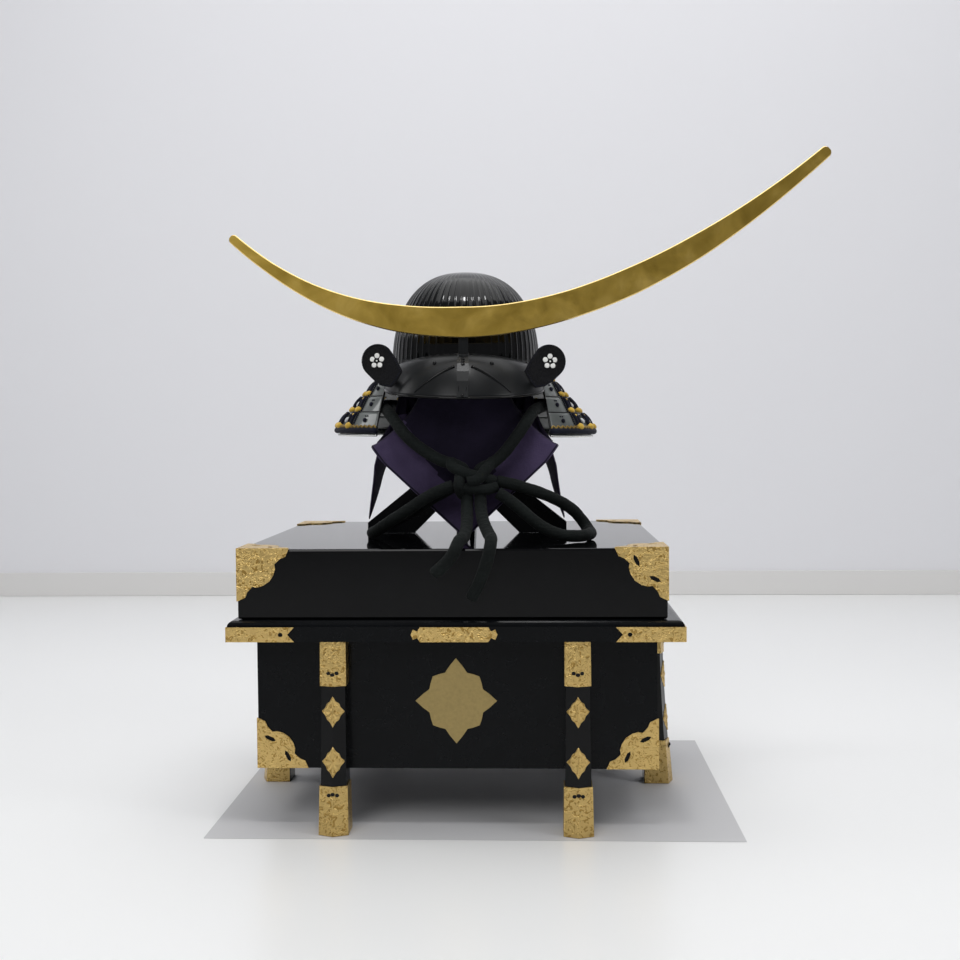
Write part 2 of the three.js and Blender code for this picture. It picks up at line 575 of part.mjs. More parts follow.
// The visor's outer surface: across runs from -1 to 1, down from 0 at the bowl to 1 at the rim
function visorPoint(across, down) {
  const angle = across * visor.spread;
  const ring = bowl.rib + visor.clear;
  const wide = bowl.width / 2 + ring;
  const long = bowl.length / 2 + ring;
  const upper = [wide * Math.sin(angle), -long * Math.cos(angle), mix(visor.rise, visor.end, across ** 2)];
  const bulge = visor.bulge * (1 - visor.taper * across ** 2);
  const middle = [upper[0] + bulge * Math.sin(angle), upper[1] - bulge * Math.cos(angle), upper[2] - 2];
  const sweep = (1 - Math.cos(across * visor.sweep)) / (1 - Math.cos(visor.sweep));
  const lower = [visor.width / 2 * Math.sin(across * visor.sweep) / Math.sin(visor.sweep),
    mix(-(bowl.length / 2 + visor.reach), -visor.back, sweep), -mix(visor.front, visor.corner, across ** 2)];
  const [u, m, l] = [(1 - down) ** 2, 2 * down * (1 - down), down ** 2];
  return [0, 1, 2].map((k) => u * upper[k] + m * middle[k] + l * lower[k]);
}

const visorRows = [0, 0.25, 0.5, 0.75, 0.93, 1];

function visorShell() {
  const outer = visorRows.map((down) => Array.from({ length: visor.columns + 1 }, (_, j) => (
    visorPoint(2 * j / visor.columns - 1, down))));
  return shell(outer, moved(outer, false, visorRows.map((down) => (down < 0.9 ? -visor.wall : -visor.roll))), false);
}

// The strip down the visor's middle with the prong that carries the crest
function crestHolder() {
  const rows = [0.06, 0.2, 0.35, 0.5, 0.65, 0.8, 1];
  const lifted = (height) => rows.map((down) => {
    const here = visorPoint(0, down);
    const next = visorPoint(0, down + 0.01);
    const [dy, dz] = [next[1] - here[1], next[2] - here[2]];
    const size = Math.hypot(dy, dz);
    return [here[1] + dz / size * height, here[2] - dy / size * height];
  });
  const low = lifted(gap + 0.2);
  const high = lifted(gap + 0.2 + holder.thick).reverse();
  const half = holder.width / 2;
  const outline = [...low, ...high];
  const side = (x) => outline.map(([y, z]) => [x, y, z]);
  const shape = new THREE.Shape(outline.map(([y, z]) => new THREE.Vector2(y, z)));
  const strip = new THREE.ExtrudeGeometry(shape, { depth: holder.width, bevelEnabled: false, steps: 1 });
  const cycle = new THREE.Matrix4().set(0, 0, 1, -half, 1, 0, 0, 0, 0, 1, 0, 0, 0, 0, 0, 1);
  const back = -crestForward + gap;
  const foot = prongFoot(back + holder.prongThick / 2);
  const wide = holder.prongWidth / 2;
  return join(strip.applyMatrix4(cycle), block(-wide, back, foot, wide, back + holder.prongThick, holder.prongTop));
}

// The level of the visor's middle line, at a distance in front of the bowl's middle
function prongFoot(y) {
  let down = 0;
  while (visorPoint(0, down)[1] > y) down += 0.005;
  return visorPoint(0, down)[2] + holder.thick / 2 + gap;
}

// Widths of the crescent along its two horns, as shares of its greatest width
const crestWidths = [
  { at: -1, share: 0.3 }, { at: -0.83, share: 0.37 }, { at: -0.67, share: 0.5 }, { at: -0.48, share: 0.69 },
  { at: -0.28, share: 0.87 }, { at: 0, share: 1 }, { at: 0.3, share: 0.91 }, { at: 0.46, share: 0.885 },
  { at: 0.64, share: 0.755 }, { at: 0.78, share: 0.59 }, { at: 0.9, share: 0.45 }, { at: 1, share: 0.36 },
];

function crestWidth(at) {
  const i = Math.max(1, crestWidths.findIndex((row) => row.at >= at));
  const [a, b] = [crestWidths[i - 1], crestWidths[i]];
  return crest.broad * mix(a.share, b.share, (at - a.at) / (b.at - a.at));
}

// The crescent's middle line: -1 is the left tip, 0 the lowest point, 1 the right tip
function crestLine(at) {
  const [reach, rise, curl] = at < 0 ? [crest.left, crest.leftRise, crest.leftCurl]
    : [crest.right, crest.rightRise, crest.rightCurl];
  return new THREE.Vector2(crest.offset + at * reach, crest.low + rise * Math.abs(at) ** curl);
}

function crestPlate() {
  const upper = [];
  const lower = [];
  const tip = 0.02;
  for (let i = -crest.steps; i <= crest.steps; i += 1) {
    const at = Math.sign(i) * Math.min(Math.abs(i) / crest.steps, 1 - tip);
    const ahead = crestLine(at + 0.004).sub(crestLine(at - 0.004)).normalize();
    const half = crestWidth(at) / 2;
    const middle = crestLine(at);
    upper.push([middle.x - ahead.y * half, middle.y + ahead.x * half]);
    lower.push([middle.x + ahead.y * half, middle.y - ahead.x * half]);
  }
  const ends = [1, -1].map((side) => {
    const inner = crestLine(side * (1 - tip));
    const ahead = inner.clone().sub(crestLine(side * (1 - 2 * tip))).normalize();
    const half = crestWidth(side) / 2;
    return [-0.7, 0, 0.7].map((share) => {
      const out = half * Math.sqrt(1 - share ** 2);
      const up = half * share;
      return [inner.x + ahead.x * out - ahead.y * up, inner.y + ahead.y * out + ahead.x * up];
    });
  });
  const outline = [...lower, ...ends[0], ...upper.reverse(), ...ends[1]];
  return plate(outline, crest.thick, [], crest.bevel).translate(0, -crestForward, 0);
}

// An ear: a round lobe with its stem, and the tab back to the neck guard
function earPiece(side) {
  const lobe = [];
  for (let i = 0; i <= ear.steps; i += 1) {
    const angle = mix(0.25, 1.25, i / ear.steps) * Math.PI;
    lobe.push([ear.radius * Math.cos(angle), ear.radius * Math.sin(angle)]);
  }
  const stem = earStem.slice(1).map((row) => [row.across, row.up]).reverse();
  const outline = [...lobe, ...stem].map(([x, z]) => [-side * x, z]);
  const body = plate(side < 0 ? outline : outline.reverse(), ear.thick);
  body.rotateZ(side * ear.tilt).translate(side * ear.out, -earForward, ear.up);
  const xs = [side * earTab.inner, side * earTab.outer].sort((a, b) => a - b);
  const tab = block(xs[0], -earForward - ear.thick / 2, earTab.low, xs[1], -earTab.back, earTab.high);
  return join(body, tab);
}

function flowerPlate(side) {
  const outline = Array.from({ length: flower.steps }, (_, i) => {
    const angle = i * TAU / flower.steps;
    const radius = flower.ring + flower.petal * Math.abs(Math.cos(flower.petals * angle / 2));
    return [radius * Math.sin(angle), radius * Math.cos(angle)];
  });
  const face = plate(outline.reverse(), flower.thick).translate(0, -ear.thick - gap, 0);
  return face.rotateZ(side * ear.tilt).translate(side * ear.out, -earForward, ear.up);
}

// A point of the neck guard: 0 is the top and 1 the bottom, around runs from front left to front right
function guardPoint(down, around, out) {
  const end = mix(guardEndTop, guard.endBottom, down);
  const half = mix(guardTop, guard.bottom, down) + out;
  const first = Math.asin(Math.min(1, end / half));
  const angle = mix(first, TAU - first, around);
  const [front, back] = [mix(guardTopFront, guard.bottomFront, down), mix(guardTopBack, guard.bottomBack, down)];
  const deep = (Math.cos(angle) > 0 ? front : back) + out;
  return [-half * Math.sin(angle), -deep * Math.cos(angle), guard.start - guard.drop * down + guard.lift * out];
}

function lameShell(number) {
  const [first, last] = [number / guard.lames, (number + 1) / guard.lames];
  const lowest = number === guard.lames - 1;
  const rows = [first, lowest ? last : last + guard.lap];
  const out = number * guard.step;
  const grid = rows.map((down) => Array.from({ length: guard.columns + 1 }, (_, j) => (
    guardPoint(down, j / guard.columns, out))));
  if (lowest) {
    grid.push(Array.from({ length: guard.columns + 1 }, (_, j) => {
      const [x, y] = guardPoint(1, j / guard.columns, out - guard.tuckIn);
      return [x, y, grid[1][j][2] - guard.tuck];
    }));
  }
  return shell(grid, moved(grid, false, grid.map(() => guard.wall)), false);
}

function addHelmet() {
  add(helmet, 'bowl', bowlShell(), materials.lacquer);
  add(helmet, 'visor', visorShell(), materials.lacquer);
  add(helmet, 'crest_holder', crestHolder(), materials.lacquer);
  add(helmet, 'crest', crestPlate(), materials.leaf);
  for (const [name, side] of [['left', -1], ['right', 1]]) {
    add(helmet, `ear_${name}`, earPiece(side), materials.leather);
    add(helmet, `ear_flower_${name}`, flowerPlate(side), materials.enamel);
  }
  for (let number = 0; number < guard.lames; number += 1) {
    add(helmet, `neck_lame_${number + 1}`, lameShell(number), materials.lacquer);
  }
}

// A round cord along a route
function tube(points, diameter, steps) {
  const section = new THREE.Shape(Array.from({ length: cord.sides }, (_, i) => {
    const angle = i * TAU / cord.sides;
    return new THREE.Vector2(diameter / 2 * Math.cos(angle), diameter / 2 * Math.sin(angle));
  }));
  const path = new THREE.CatmullRomCurve3(points.map((point) => new THREE.Vector3(...point)));
  return new THREE.ExtrudeGeometry(section, { steps, extrudePath: path, bevelEnabled: false });
}

function addCord() {
  for (const [name, points] of Object.entries(routes)) {
    const path = new THREE.CatmullRomCurve3(points.map((point) => new THREE.Vector3(...point)));
    const steps = Math.round(path.getLength() / (name.startsWith('tail') ? cord.tailStep : cord.step));
    add(whole, name, tube(points, cord.diameter, steps), materials.crepe);
  }
  const [x, y, z] = cord.knot;
  const ends = [-cord.knotLength / 2, cord.knotLength / 2].map((along) => [x + along, y, z]);
  add(whole, 'cord_knot', tube(ends, cord.knotDiameter, 1), materials.crepe);
}

add(whole, 'chest_body', chestBody(), materials.satinLacquer);
add(whole, 'chest_lid', chestLid(), materials.lacquer);
addLegs();
addFittings();
addStand();
add(head, 'stand_cloth', clothShell(), materials.cloth);
addHelmet();
addCord();

// The origin is the middle of the footprint of everything but the cord
const group = new THREE.Group();
group.add(whole);
group.updateMatrixWorld(true);
const box = new THREE.Box3();
whole.traverse((part) => {
  if (part.isMesh && part.material !== materials.crepe) box.expandByObject(part, true);
});
whole.position.set(-(box.min.x + box.max.x) / 2, -(box.min.y + box.max.y) / 2, -box.min.z);

export default group;
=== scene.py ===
# A samurai helmet with a gilt crescent crest, on its draped stand and six-legged armour chest.
# Shapes are worked out in millimetres in the chest's own frame, then placed in the row's frame in metres.
import bmesh
import bpy
import math
from mathutils import Matrix, Vector, noise

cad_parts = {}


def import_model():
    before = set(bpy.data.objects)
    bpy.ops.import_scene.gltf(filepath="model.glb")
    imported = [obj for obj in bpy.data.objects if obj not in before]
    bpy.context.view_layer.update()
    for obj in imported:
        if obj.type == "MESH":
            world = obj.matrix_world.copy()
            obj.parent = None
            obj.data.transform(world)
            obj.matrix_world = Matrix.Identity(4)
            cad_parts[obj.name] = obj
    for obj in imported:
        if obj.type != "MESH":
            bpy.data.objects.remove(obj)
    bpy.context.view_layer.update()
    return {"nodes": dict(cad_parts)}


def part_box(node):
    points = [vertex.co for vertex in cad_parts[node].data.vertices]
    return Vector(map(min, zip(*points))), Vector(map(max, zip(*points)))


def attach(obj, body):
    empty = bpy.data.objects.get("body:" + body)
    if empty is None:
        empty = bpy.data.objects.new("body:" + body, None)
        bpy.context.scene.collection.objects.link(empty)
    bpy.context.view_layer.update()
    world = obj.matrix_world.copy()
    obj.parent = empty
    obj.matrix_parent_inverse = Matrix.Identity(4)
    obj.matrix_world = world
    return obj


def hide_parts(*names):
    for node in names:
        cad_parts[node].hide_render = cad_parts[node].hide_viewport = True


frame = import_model()

MM = 0.001
TAU = 2 * math.pi
chest_low, chest_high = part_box("chest_body")
lid_low, lid_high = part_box("chest_lid")
SHIFT = (chest_low[0] + chest_high[0]) / 2
LID_TOP = lid_high[2] / MM

# Camera fitted to the chest's edges in the photograph, in the chest's frame
CAMERA = {"place": (94.66, -1630.03, 468.65), "lens": 46.03, "sensor": 36, "pitch": 0.04076,
          "yaw": 0.04516, "roll": -0.00819}

# Sizes shared with the model
PLACE = {"x": 2.7, "y": 12, "above_lid": 216.5, "turn": 0.031, "roll": 0.012}
BOWL = {"width": 193, "length": 224, "height": 129, "ribs": 62, "rib": 1.3, "fullness": 2.4, "wall": 2}
VISOR = {"spread": 1.08, "reach": 50, "rise": 16, "end": 3, "front": 40.4, "corner": 28, "width": 203,
         "back": 78, "sweep": 1.45, "bulge": 26, "flatter": 0.55, "sag": 2, "wall": 1.8, "clear": 0.9,
         "over_ribs": 1.4}
CREST = {"left": 286, "right": 451, "left_rise": 105, "right_rise": 215, "left_curl": 2.42,
         "right_curl": 1.86, "broad": 38, "low": 53.2, "offset": -2, "forward": 127.5, "thick": 5,
         "bevel": 1.1}
GUARD = {"lames": 4, "top": 100.1, "bottom": 163, "top_back": 115.5, "bottom_back": 184, "top_front": 116,
         "bottom_front": 130, "start": 5, "drop": 85, "wall": 2, "lap": 0.045, "step": 2.7, "tuck": 9,
         "lift": 0.3, "tuck_in": 5, "end_top": 96, "end_bottom": 109}
EAR = {"radius": 21, "out": 106.1, "up": 6.3, "forward": 115, "tilt": 0.26}
CLOTH = {"side": 525, "thick": 1.6, "forward": 29, "level": 30, "clear": 6, "under": 1}
# The hanging cloth: four flat corners of the square, with deep folds between them
PANEL = {"half": 0.42, "fold_end": 0.72, "narrow": 0.66, "valley": 0.1, "room": 4.2, "settle": 165,
         "front": 2.6, "front_down": 133, "front_bend": 2.6, "side": 37, "side_down": 215, "side_bend": 1.3,
         "curl": 6, "band": 38, "band_share": 0.75, "ease": 1.5, "inset": 1.5, "pleat": 15, "pleats": 6,
         "pleat_out": 0.76, "pleat_side": 0.65}
# Slow waves in the hanging cloth, by turns round it and millimetres down
WAVE = {"height": 3, "turn": 3.2, "length": 120}
LEG = {"spread": 284, "top": 27, "toe": 32, "reach_top": 20, "reach_toe": 31, "ridge_top": 5, "ridge_toe": 7,
       "bend": 1.6}
CHEST = {"width": 471, "depth": 400, "top": 225}
LEG_LEVELS = (0, 0.14, 0.32, 0.58, 1)
CORD = {"diameter": 15}

# Routes of the chin cord, the same points as the model's
ROUTES = {
    "chin_loop": [
        (25, -121, 411), (27, -120, 420), (42, -116, 428), (56, -114, 440), (71, -111, 459), (85, -101, 480),
        (93, -82, 492), (104, -52, 498), (111, -14, 501), (113, 28, 503), (107, 74, 504), (83, 105, 505),
        (45, 127, 506), (3, 132, 506), (-39, 127, 506), (-77, 105, 505), (-101, 74, 504), (-107, 28, 503),
        (-106, -14, 501), (-99, -52, 498), (-90, -84, 492), (-80, -101, 480), (-64, -112, 461),
        (-45, -115, 445), (-23, -118, 432), (-2, -120, 425), (6, -121, 420), (7, -121, 411)],
    "bow_left": [
        (-6.4, -130, 400.5), (-18, -130, 396.5), (-31.5, -130, 390.5), (-45, -130, 382.5), (-57, -129, 374.5),
        (-71, -126, 365.5), (-85, -120, 356.5), (-98, -111, 348), (-108, -99, 341.5), (-112, -84, 339.5),
        (-108, -70, 341), (-97, -62, 348), (-84, -66, 354), (-71, -80, 360.5), (-58, -101, 367.5),
        (-45, -116, 376.5), (-33, -115.5, 384.5), (-20, -115.5, 391.5), (-8, -115, 398)],
    "bow_right": [
        (46.9, -114, 405), (66, -114, 401.5), (85, -112, 395.5), (101, -108, 390), (117, -102, 383),
        (132, -94, 374.5), (145, -86, 364), (154, -82, 352.5), (160, -86, 343.5), (163, -100, 339.6),
        (161, -118, 339.4), (153, -135, 339.3), (139, -145, 339.4), (123, -146, 341.5), (108, -143, 347.5),
        (95, -140, 356), (81, -137, 367.5), (65, -134, 381), (49, -131, 391.5)],
    "tail_left": [
        (11, -128, 389.3), (11, -133, 376), (11.5, -146, 363), (12, -163, 353.5), (11, -182, 346.5),
        (9.5, -202, 342.5), (6.5, -218.5, 341), (1.5, -227.5, 330.5), (-5, -228, 320), (-14.5, -225.5, 310.5),
        (-25, -224, 301.5)],
    "tail_right": [
        (27, -128, 389.3), (28, -137, 374), (30.5, -152, 362), (34.5, -170, 353), (39, -188, 346.5),
        (42.5, -204, 342.5), (43, -219.5, 340), (41, -228, 328), (37.5, -228, 315), (33, -225.5, 302),
        (27, -224, 288), (18.5, -224, 272)],
}
CORD_FACTS = {
    "chin_loop": ("knot", "hanging"), "bow_left": ("knot", "loose"), "bow_right": ("knot", "loose"),
    "tail_left": ("bare", "hanging"), "tail_right": ("bare", "hanging"),
}
# Strands that make the knot's visible crossings
KNOT_STRANDS = [
    [(-9, -121, 431), (-7, -127, 424), (4, -131, 418), (18, -131, 413), (32, -128, 410), (44, -122, 406)],
    [(42, -116, 430), (37, -122, 424), (31, -131, 416), (24, -136, 408), (12, -136, 405)],
    [(-5, -126, 398), (3, -132, 397), (13, -134, 397), (24, -134, 396), (36, -131, 396), (47, -126, 399)],
    [(3, -120, 414), (2, -132, 408), (2, -136, 399), (4, -130, 391), (8, -122, 388)],
]


def mix(a, b, t):
    return a + (b - a) * t


def world(point):
    """A point of the chest's frame, in millimetres, as a place in the row's frame."""
    return Vector((point[0] * MM + SHIFT, point[1] * MM, point[2] * MM))


HELMET_TURN = Matrix.Rotation(PLACE["roll"], 3, "Y") @ Matrix.Rotation(PLACE["turn"], 3, "Z")
HELMET_SEAT = Vector((PLACE["x"], PLACE["y"], LID_TOP + PLACE["above_lid"]))
HEAD_TURN = Matrix.Rotation(PLACE["turn"], 3, "Z")
HEAD_SEAT = Vector((PLACE["x"] + CLOTH["level"] * PLACE["roll"], PLACE["y"], HELMET_SEAT.z + CLOTH["level"]))


def on_helmet(point):
    return world(HELMET_TURN @ Vector(point) + HELMET_SEAT)


def on_head(point):
    return world(HEAD_TURN @ Vector(point) + HEAD_SEAT)


def grid_faces(rows, columns, wrap=False, start=0):
    faces = []
    for i in range(rows - 1):
        for j in range(columns if wrap else columns - 1):
            k = (j + 1) % columns
            a = start + i * columns
            b = a + columns
            faces.append((a + j, a + k, b + k, b + j))
    return faces


class Shape:
    """Collects points and faces of one mesh."""

    def __init__(self):
        self.points = []
        self.faces = []

    def grid(self, grid, wrap=False):
        start = len(self.points)
        for row in grid:
            self.points.extend(row)
        self.faces.extend(grid_faces(len(grid), len(grid[0]), wrap, start))

    def close_ends(self, rows, columns):
        """Closes the first and last ring of the wrapped grid that the shape began with."""
        self.faces.append(tuple(range(columns)))
        self.faces.append(tuple(range((rows - 1) * columns, rows * columns))[::-1])

    def tube(self, points, radius, sides, closed=False):
        """A tube along points; radius is a number or a function of the share of the way."""
        count = len(points)
        start = len(self.points)
        side = None
        for i, point in enumerate(points):
            before = points[(i - 1) % count] if closed or i > 0 else points[0]
            after = points[(i + 1) % count] if closed or i < count - 1 else points[-1]
            ahead = (after - before).normalized()
            if side is None:
                rough = Vector((0, 0, 1)) if abs(ahead.z) < 0.9 else Vector((1, 0, 0))
                side = ahead.cross(rough).normalized()
            else:
                side = (side - ahead * side.dot(ahead)).normalized()
            over = side.cross(ahead)
            size = radius(i / (count - 1)) if callable(radius) else radius
            for k in range(sides):
                angle = k * TAU / sides
                beside = point + side * math.cos(angle) * size
                self.points.append(beside + over * math.sin(angle) * size)
        self.faces.extend(grid_faces(count, sides, True, start))
        if closed:
            last = start + (count - 1) * sides
            for k in range(sides):
                m = (k + 1) % sides
                self.faces.append((last + k, last + m, start + m, start + k))
        else:
            self.faces.append(tuple(start + k for k in range(sides))[::-1])
            self.faces.append(tuple(start + (count - 1) * sides + k for k in range(sides)))

    def lump(self, centre, axes, rings=6, sides=10):
        """An ellipsoid from its centre and three half axes."""
        start = len(self.points)
        for i in range(1, rings):
            polar = i * math.pi / rings
            for k in range(sides):
                angle = k * TAU / sides
                self.points.append(centre + axes[0] * math.sin(polar) * math.cos(angle)
                                   + axes[1] * math.sin(polar) * math.sin(angle) + axes[2] * math.cos(polar))
        self.faces.extend(grid_faces(rings - 1, sides, True, start))
        self.faces.append(tuple(start + k for k in range(sides)))
        self.faces.append(tuple(start + (rings - 2) * sides + k for k in range(sides))[::-1])

    def build(self, name, material, slot, replaced=()):
        mesh = bpy.data.meshes.new(name)
        mesh.from_pydata([tuple(p) for p in self.points], [], self.faces)
        mesh.validate()
        mesh.polygons.foreach_set("use_smooth", [True] * len(mesh.polygons))
        mesh.materials.append(material)
        piece = bpy.data.objects.new(name, mesh)
        bpy.context.scene.collection.objects.link(piece)
        turn_out(mesh)
        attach(piece, "root")
        if replaced:
            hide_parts(*replaced)
        return piece


def turn_out(mesh):
    """Makes all faces of a mesh agree, looking out."""
    shape = bmesh.new()
    shape.from_mesh(mesh)
    bmesh.ops.recalc_face_normals(shape, faces=shape.faces)
    shape.to_mesh(mesh)
    shape.free()


def thicken(piece, thickness, even=True):
    wall = piece.modifiers.new("wall", "SOLIDIFY")
    wall.thickness = thickness * MM
    wall.offset = -1
    wall.use_even_offset = even


def smooth_by_angle(piece, degrees):
    piece.data.set_sharp_from_angle(angle=math.radians(degrees))


# Camera, floor and light

def make_camera():
    data = bpy.data.cameras.new("camera")
    data.lens = CAMERA["lens"]
    data.sensor_width = CAMERA["sensor"]
    data.clip_end = 50
    camera = bpy.data.objects.new("camera", data)
    yaw, pitch, roll = CAMERA["yaw"], CAMERA["pitch"], CAMERA["roll"]
    ahead = Vector((-math.sin(yaw) * math.cos(pitch), math.cos(yaw) * math.cos(pitch), -math.sin(pitch)))
    right = Vector((math.cos(yaw), math.sin(yaw), 0))
    up = right.cross(ahead)
    right, up = right * math.cos(roll) + up * math.sin(roll), up * math.cos(roll) - right * math.sin(roll)
    place = Matrix((right, up, -ahead)).transposed().to_4x4()
    place.translation = world(CAMERA["place"])
    camera.matrix_world = place
    bpy.context.scene.collection.objects.link(camera)
    bpy.context.scene.camera = camera


def slab(name, low, high, material):
    shape = Shape()
    levels = (low[2], high[2])
    shape.points = [Vector((x, y, z)) for z in levels for y in (low[1], high[1]) for x in (low[0], high[0])]
    shape.faces = [(0, 2, 3, 1), (4, 5, 7, 6), (0, 1, 5, 4), (2, 6, 7, 3), (0, 4, 6, 2), (1, 3, 7, 5)]
    mesh = bpy.data.meshes.new(name)
    mesh.from_pydata([tuple(p) for p in shape.points], [], shape.faces)
    mesh.materials.append(material)
    piece = bpy.data.objects.new(name, mesh)
    bpy.context.scene.collection.objects.link(piece)
    return piece


# The room and the paper under the chest, in metres
ROOM = {"half": 7, "wall": 1.85, "height": 4.5, "skirting": 0.066, "board": 0.014, "thick": 0.05}
PAPER = {"low": (-0.38, -0.245, -0.0004), "high": (0.243, 0.21, -0.0002)}


def make_stage():
    half, wall = ROOM["half"], ROOM["wall"]
    floor_look = plain("floor", (0.86, 0.865, 0.86), 0.3)
    wall_look = plain("wall", (0.8, 0.8, 0.83), 0.8)
    floor = slab("floor", (-half, -half, -ROOM["thick"]), (half, wall, -0.0006), floor_look)
    back = slab("wall", (-half, wall, 0), (half, wall + ROOM["thick"], ROOM["height"]), wall_look)
    board = slab("skirting", (-half, wall - ROOM["board"], 0), (half, wall, ROOM["skirting"]),
                 plain("skirting", (0.74, 0.73, 0.72), 0.5))
    paper = slab("paper", PAPER["low"], PAPER["high"], plain("paper", (0.56, 0.56, 0.57), 0.6))


LAMPS = (
    {"name": "ceiling", "place": (0.1, 0.3, 3.2), "size": 3.4, "power": 58, "aim": (0, 0.1, 0)},
    {"name": "ceiling_bright", "place": (0, -0.9, 3.1), "size": 0.3, "power": 13, "aim": (0, 0, 0.5)},
    {"name": "front_soft", "place": (-0.9, -2.6, 2.3), "size": 1.4, "power": 27, "aim": (0, 0, 0.5)},
    {"name": "right_soft", "place": (2.3, -1.2, 1.9), "size": 0.9, "power": 14, "aim": (0, 0, 0.55)},
    {"name": "left_soft", "place": (-2.3, 0.2, 1.7), "size": 0.9, "power": 8, "aim": (0, 0, 0.5)},
)
AIR = {"color": (0.8, 0.81, 0.84), "strength": 0.27}


def make_light():
    for row in LAMPS:
        data = bpy.data.lights.new(row["name"], "AREA")
        data.size = row["size"]
        data.energy = row["power"]
        lamp = bpy.data.objects.new(row["name"], data)
        lamp.location = row["place"]
        lamp.rotation_euler = (Vector(row["aim"]) - lamp.location).to_track_quat("-Z", "Y").to_euler()
        bpy.context.scene.collection.objects.link(lamp)
    room = bpy.data.worlds.new("room")
    room.use_nodes = True
    air = room.node_tree.nodes["Background"]
    air.inputs["Color"].default_value = (*AIR["color"], 1)
    air.inputs["Strength"].default_value = AIR["strength"]
    bpy.context.scene.world = room
    bpy.context.scene.view_settings.view_transform = "Standard"


# Materials

def principled(name):
    material = bpy.data.materials.new(name)
    material.use_nodes = True
    nodes, links = material.node_tree.nodes, material.node_tree.links
    return material, nodes, links, nodes["Principled BSDF"]


def plain(name, color, rough):
    material, nodes, links, shader = principled(name)
    shader.inputs["Base Color"].default_value = (*color, 1)
    shader.inputs["Roughness"].default_value = rough
    return material


def noise_node(nodes, links, scale, detail=2, distortion=0, stretch=None):
    place = nodes.new("ShaderNodeTexCoord")
    source = place.outputs["Object"]
    if stretch:
        mapping = nodes.new("ShaderNodeMapping")
        mapping.inputs["Scale"].default_value = stretch
        links.new(source, mapping.inputs["Vector"])
        source = mapping.outputs["Vector"]
    texture = nodes.new("ShaderNodeTexNoise")
    texture.inputs["Scale"].default_value = scale
    texture.inputs["Detail"].default_value = detail
    texture.inputs["Distortion"].default_value = distortion
    links.new(source, texture.inputs["Vector"])
    return texture.outputs["Fac"]


def ramp_node(nodes, links, value, stops):
    ramp = nodes.new("ShaderNodeValToRGB")
    elements = ramp.color_ramp.elements
    elements[0].position, elements[0].color = stops[0][0], (*stops[0][1], 1)
    elements[1].position, elements[1].color = stops[-1][0], (*stops[-1][1], 1)
    for position, color in stops[1:-1]:
        elements.new(position).color = (*color, 1)
    links.new(value, ramp.inputs["Fac"])
    return ramp.outputs["Color"]


def range_node(nodes, links, value, low, high):
    span = nodes.new("ShaderNodeMapRange")
    span.inputs["To Min"].default_value = low
    span.inputs["To Max"].default_value = high
    links.new(value, span.inputs["Value"])
    return span.outputs["Result"]


def bump_node(nodes, links, shader, height, depth, strength=1.0):
    bump = nodes.new("ShaderNodeBump")
    bump.inputs["Strength"].default_value = strength
    bump.inputs["Distance"].default_value = depth * MM
    links.new(height, bump.inputs["Height"])
    links.new(bump.outputs["Normal"], shader.inputs["Normal"])


def lacquer(name, color, low, high, waviness, shine):
    """Lacquer whose roughness runs from low to high."""
    material, nodes, links, shader = principled(name)
    spots = noise_node(nodes, links, 35, 4)
    tint = ramp_node(nodes, links, spots, [(0.3, color), (0.75, tuple(c * 1.6 for c in color))])
    links.new(tint, shader.inputs["Base Color"])
    links.new(range_node(nodes, links, spots, low, high), shader.inputs["Roughness"])
    shader.inputs["Specular IOR Level"].default_value = shine
    bump_node(nodes, links, shader, noise_node(nodes, links, 14, 1), waviness)
    return material


# Curling engraved lines in the gilt fittings
ENGRAVING = {"scale": 170, "turns": 14, "depth": 0.5, "strength": 0.8}


def engraved(name, light, dark):
    """Gilt brass with curling engraved lines, bright on top and brown in the grooves."""
    material, nodes, links, shader = principled(name)
    field = noise_node(nodes, links, ENGRAVING["scale"], 1.5, 1.6)
    times = nodes.new("ShaderNodeMath")
    times.operation = "MULTIPLY"
    times.inputs[1].default_value = ENGRAVING["turns"]
    wave = nodes.new("ShaderNodeMath")
    wave.operation = "SINE"
    links.new(field, times.inputs[0])
    links.new(times.outputs[0], wave.inputs[0])
    lift = nodes.new("ShaderNodeMapRange")
    lift.inputs["From Min"].default_value = -1
    links.new(wave.outputs[0], lift.inputs["Value"])
    tint = ramp_node(nodes, links, lift.outputs["Result"], [(0.08, dark), (0.4, light), (1, light)])
    links.new(tint, shader.inputs["Base Color"])
    shader.inputs["Metallic"].default_value = 1
    grain = noise_node(nodes, links, 900, 2)
    links.new(range_node(nodes, links, grain, 0.22, 0.42), shader.inputs["Roughness"])
    bump_node(nodes, links, shader, lift.outputs["Result"], ENGRAVING["depth"], ENGRAVING["strength"])
    return material


def gold_leaf():
    material, nodes, links, shader = principled("gold_leaf")
    patches = noise_node(nodes, links, 26, 5, 0.6)
    stops = [(0.3, (0.31, 0.205, 0.035)), (0.55, (0.45, 0.305, 0.062)), (0.8, (0.6, 0.42, 0.11))]
    tint = ramp_node(nodes, links, patches, stops)
    links.new(tint, shader.inputs["Base Color"])
    shader.inputs["Metallic"].default_value = 1
    fine = noise_node(nodes, links, 130, 4)
    links.new(range_node(nodes, links, fine, 0.3, 0.52), shader.inputs["Roughness"])
    bump_node(nodes, links, shader, fine, 0.12, 0.5)
    return material


def metal(name, color, rough):
    material, nodes, links, shader = principled(name)
    fine = noise_node(nodes, links, 300, 3)
    tint = ramp_node(nodes, links, fine, [(0.2, tuple(c * 0.75 for c in color)), (0.8, color)])
    links.new(tint, shader.inputs["Base Color"])
    shader.inputs["Metallic"].default_value = 1
    links.new(range_node(nodes, links, fine, rough * 0.8, rough * 1.3), shader.inputs["Roughness"])
    return material


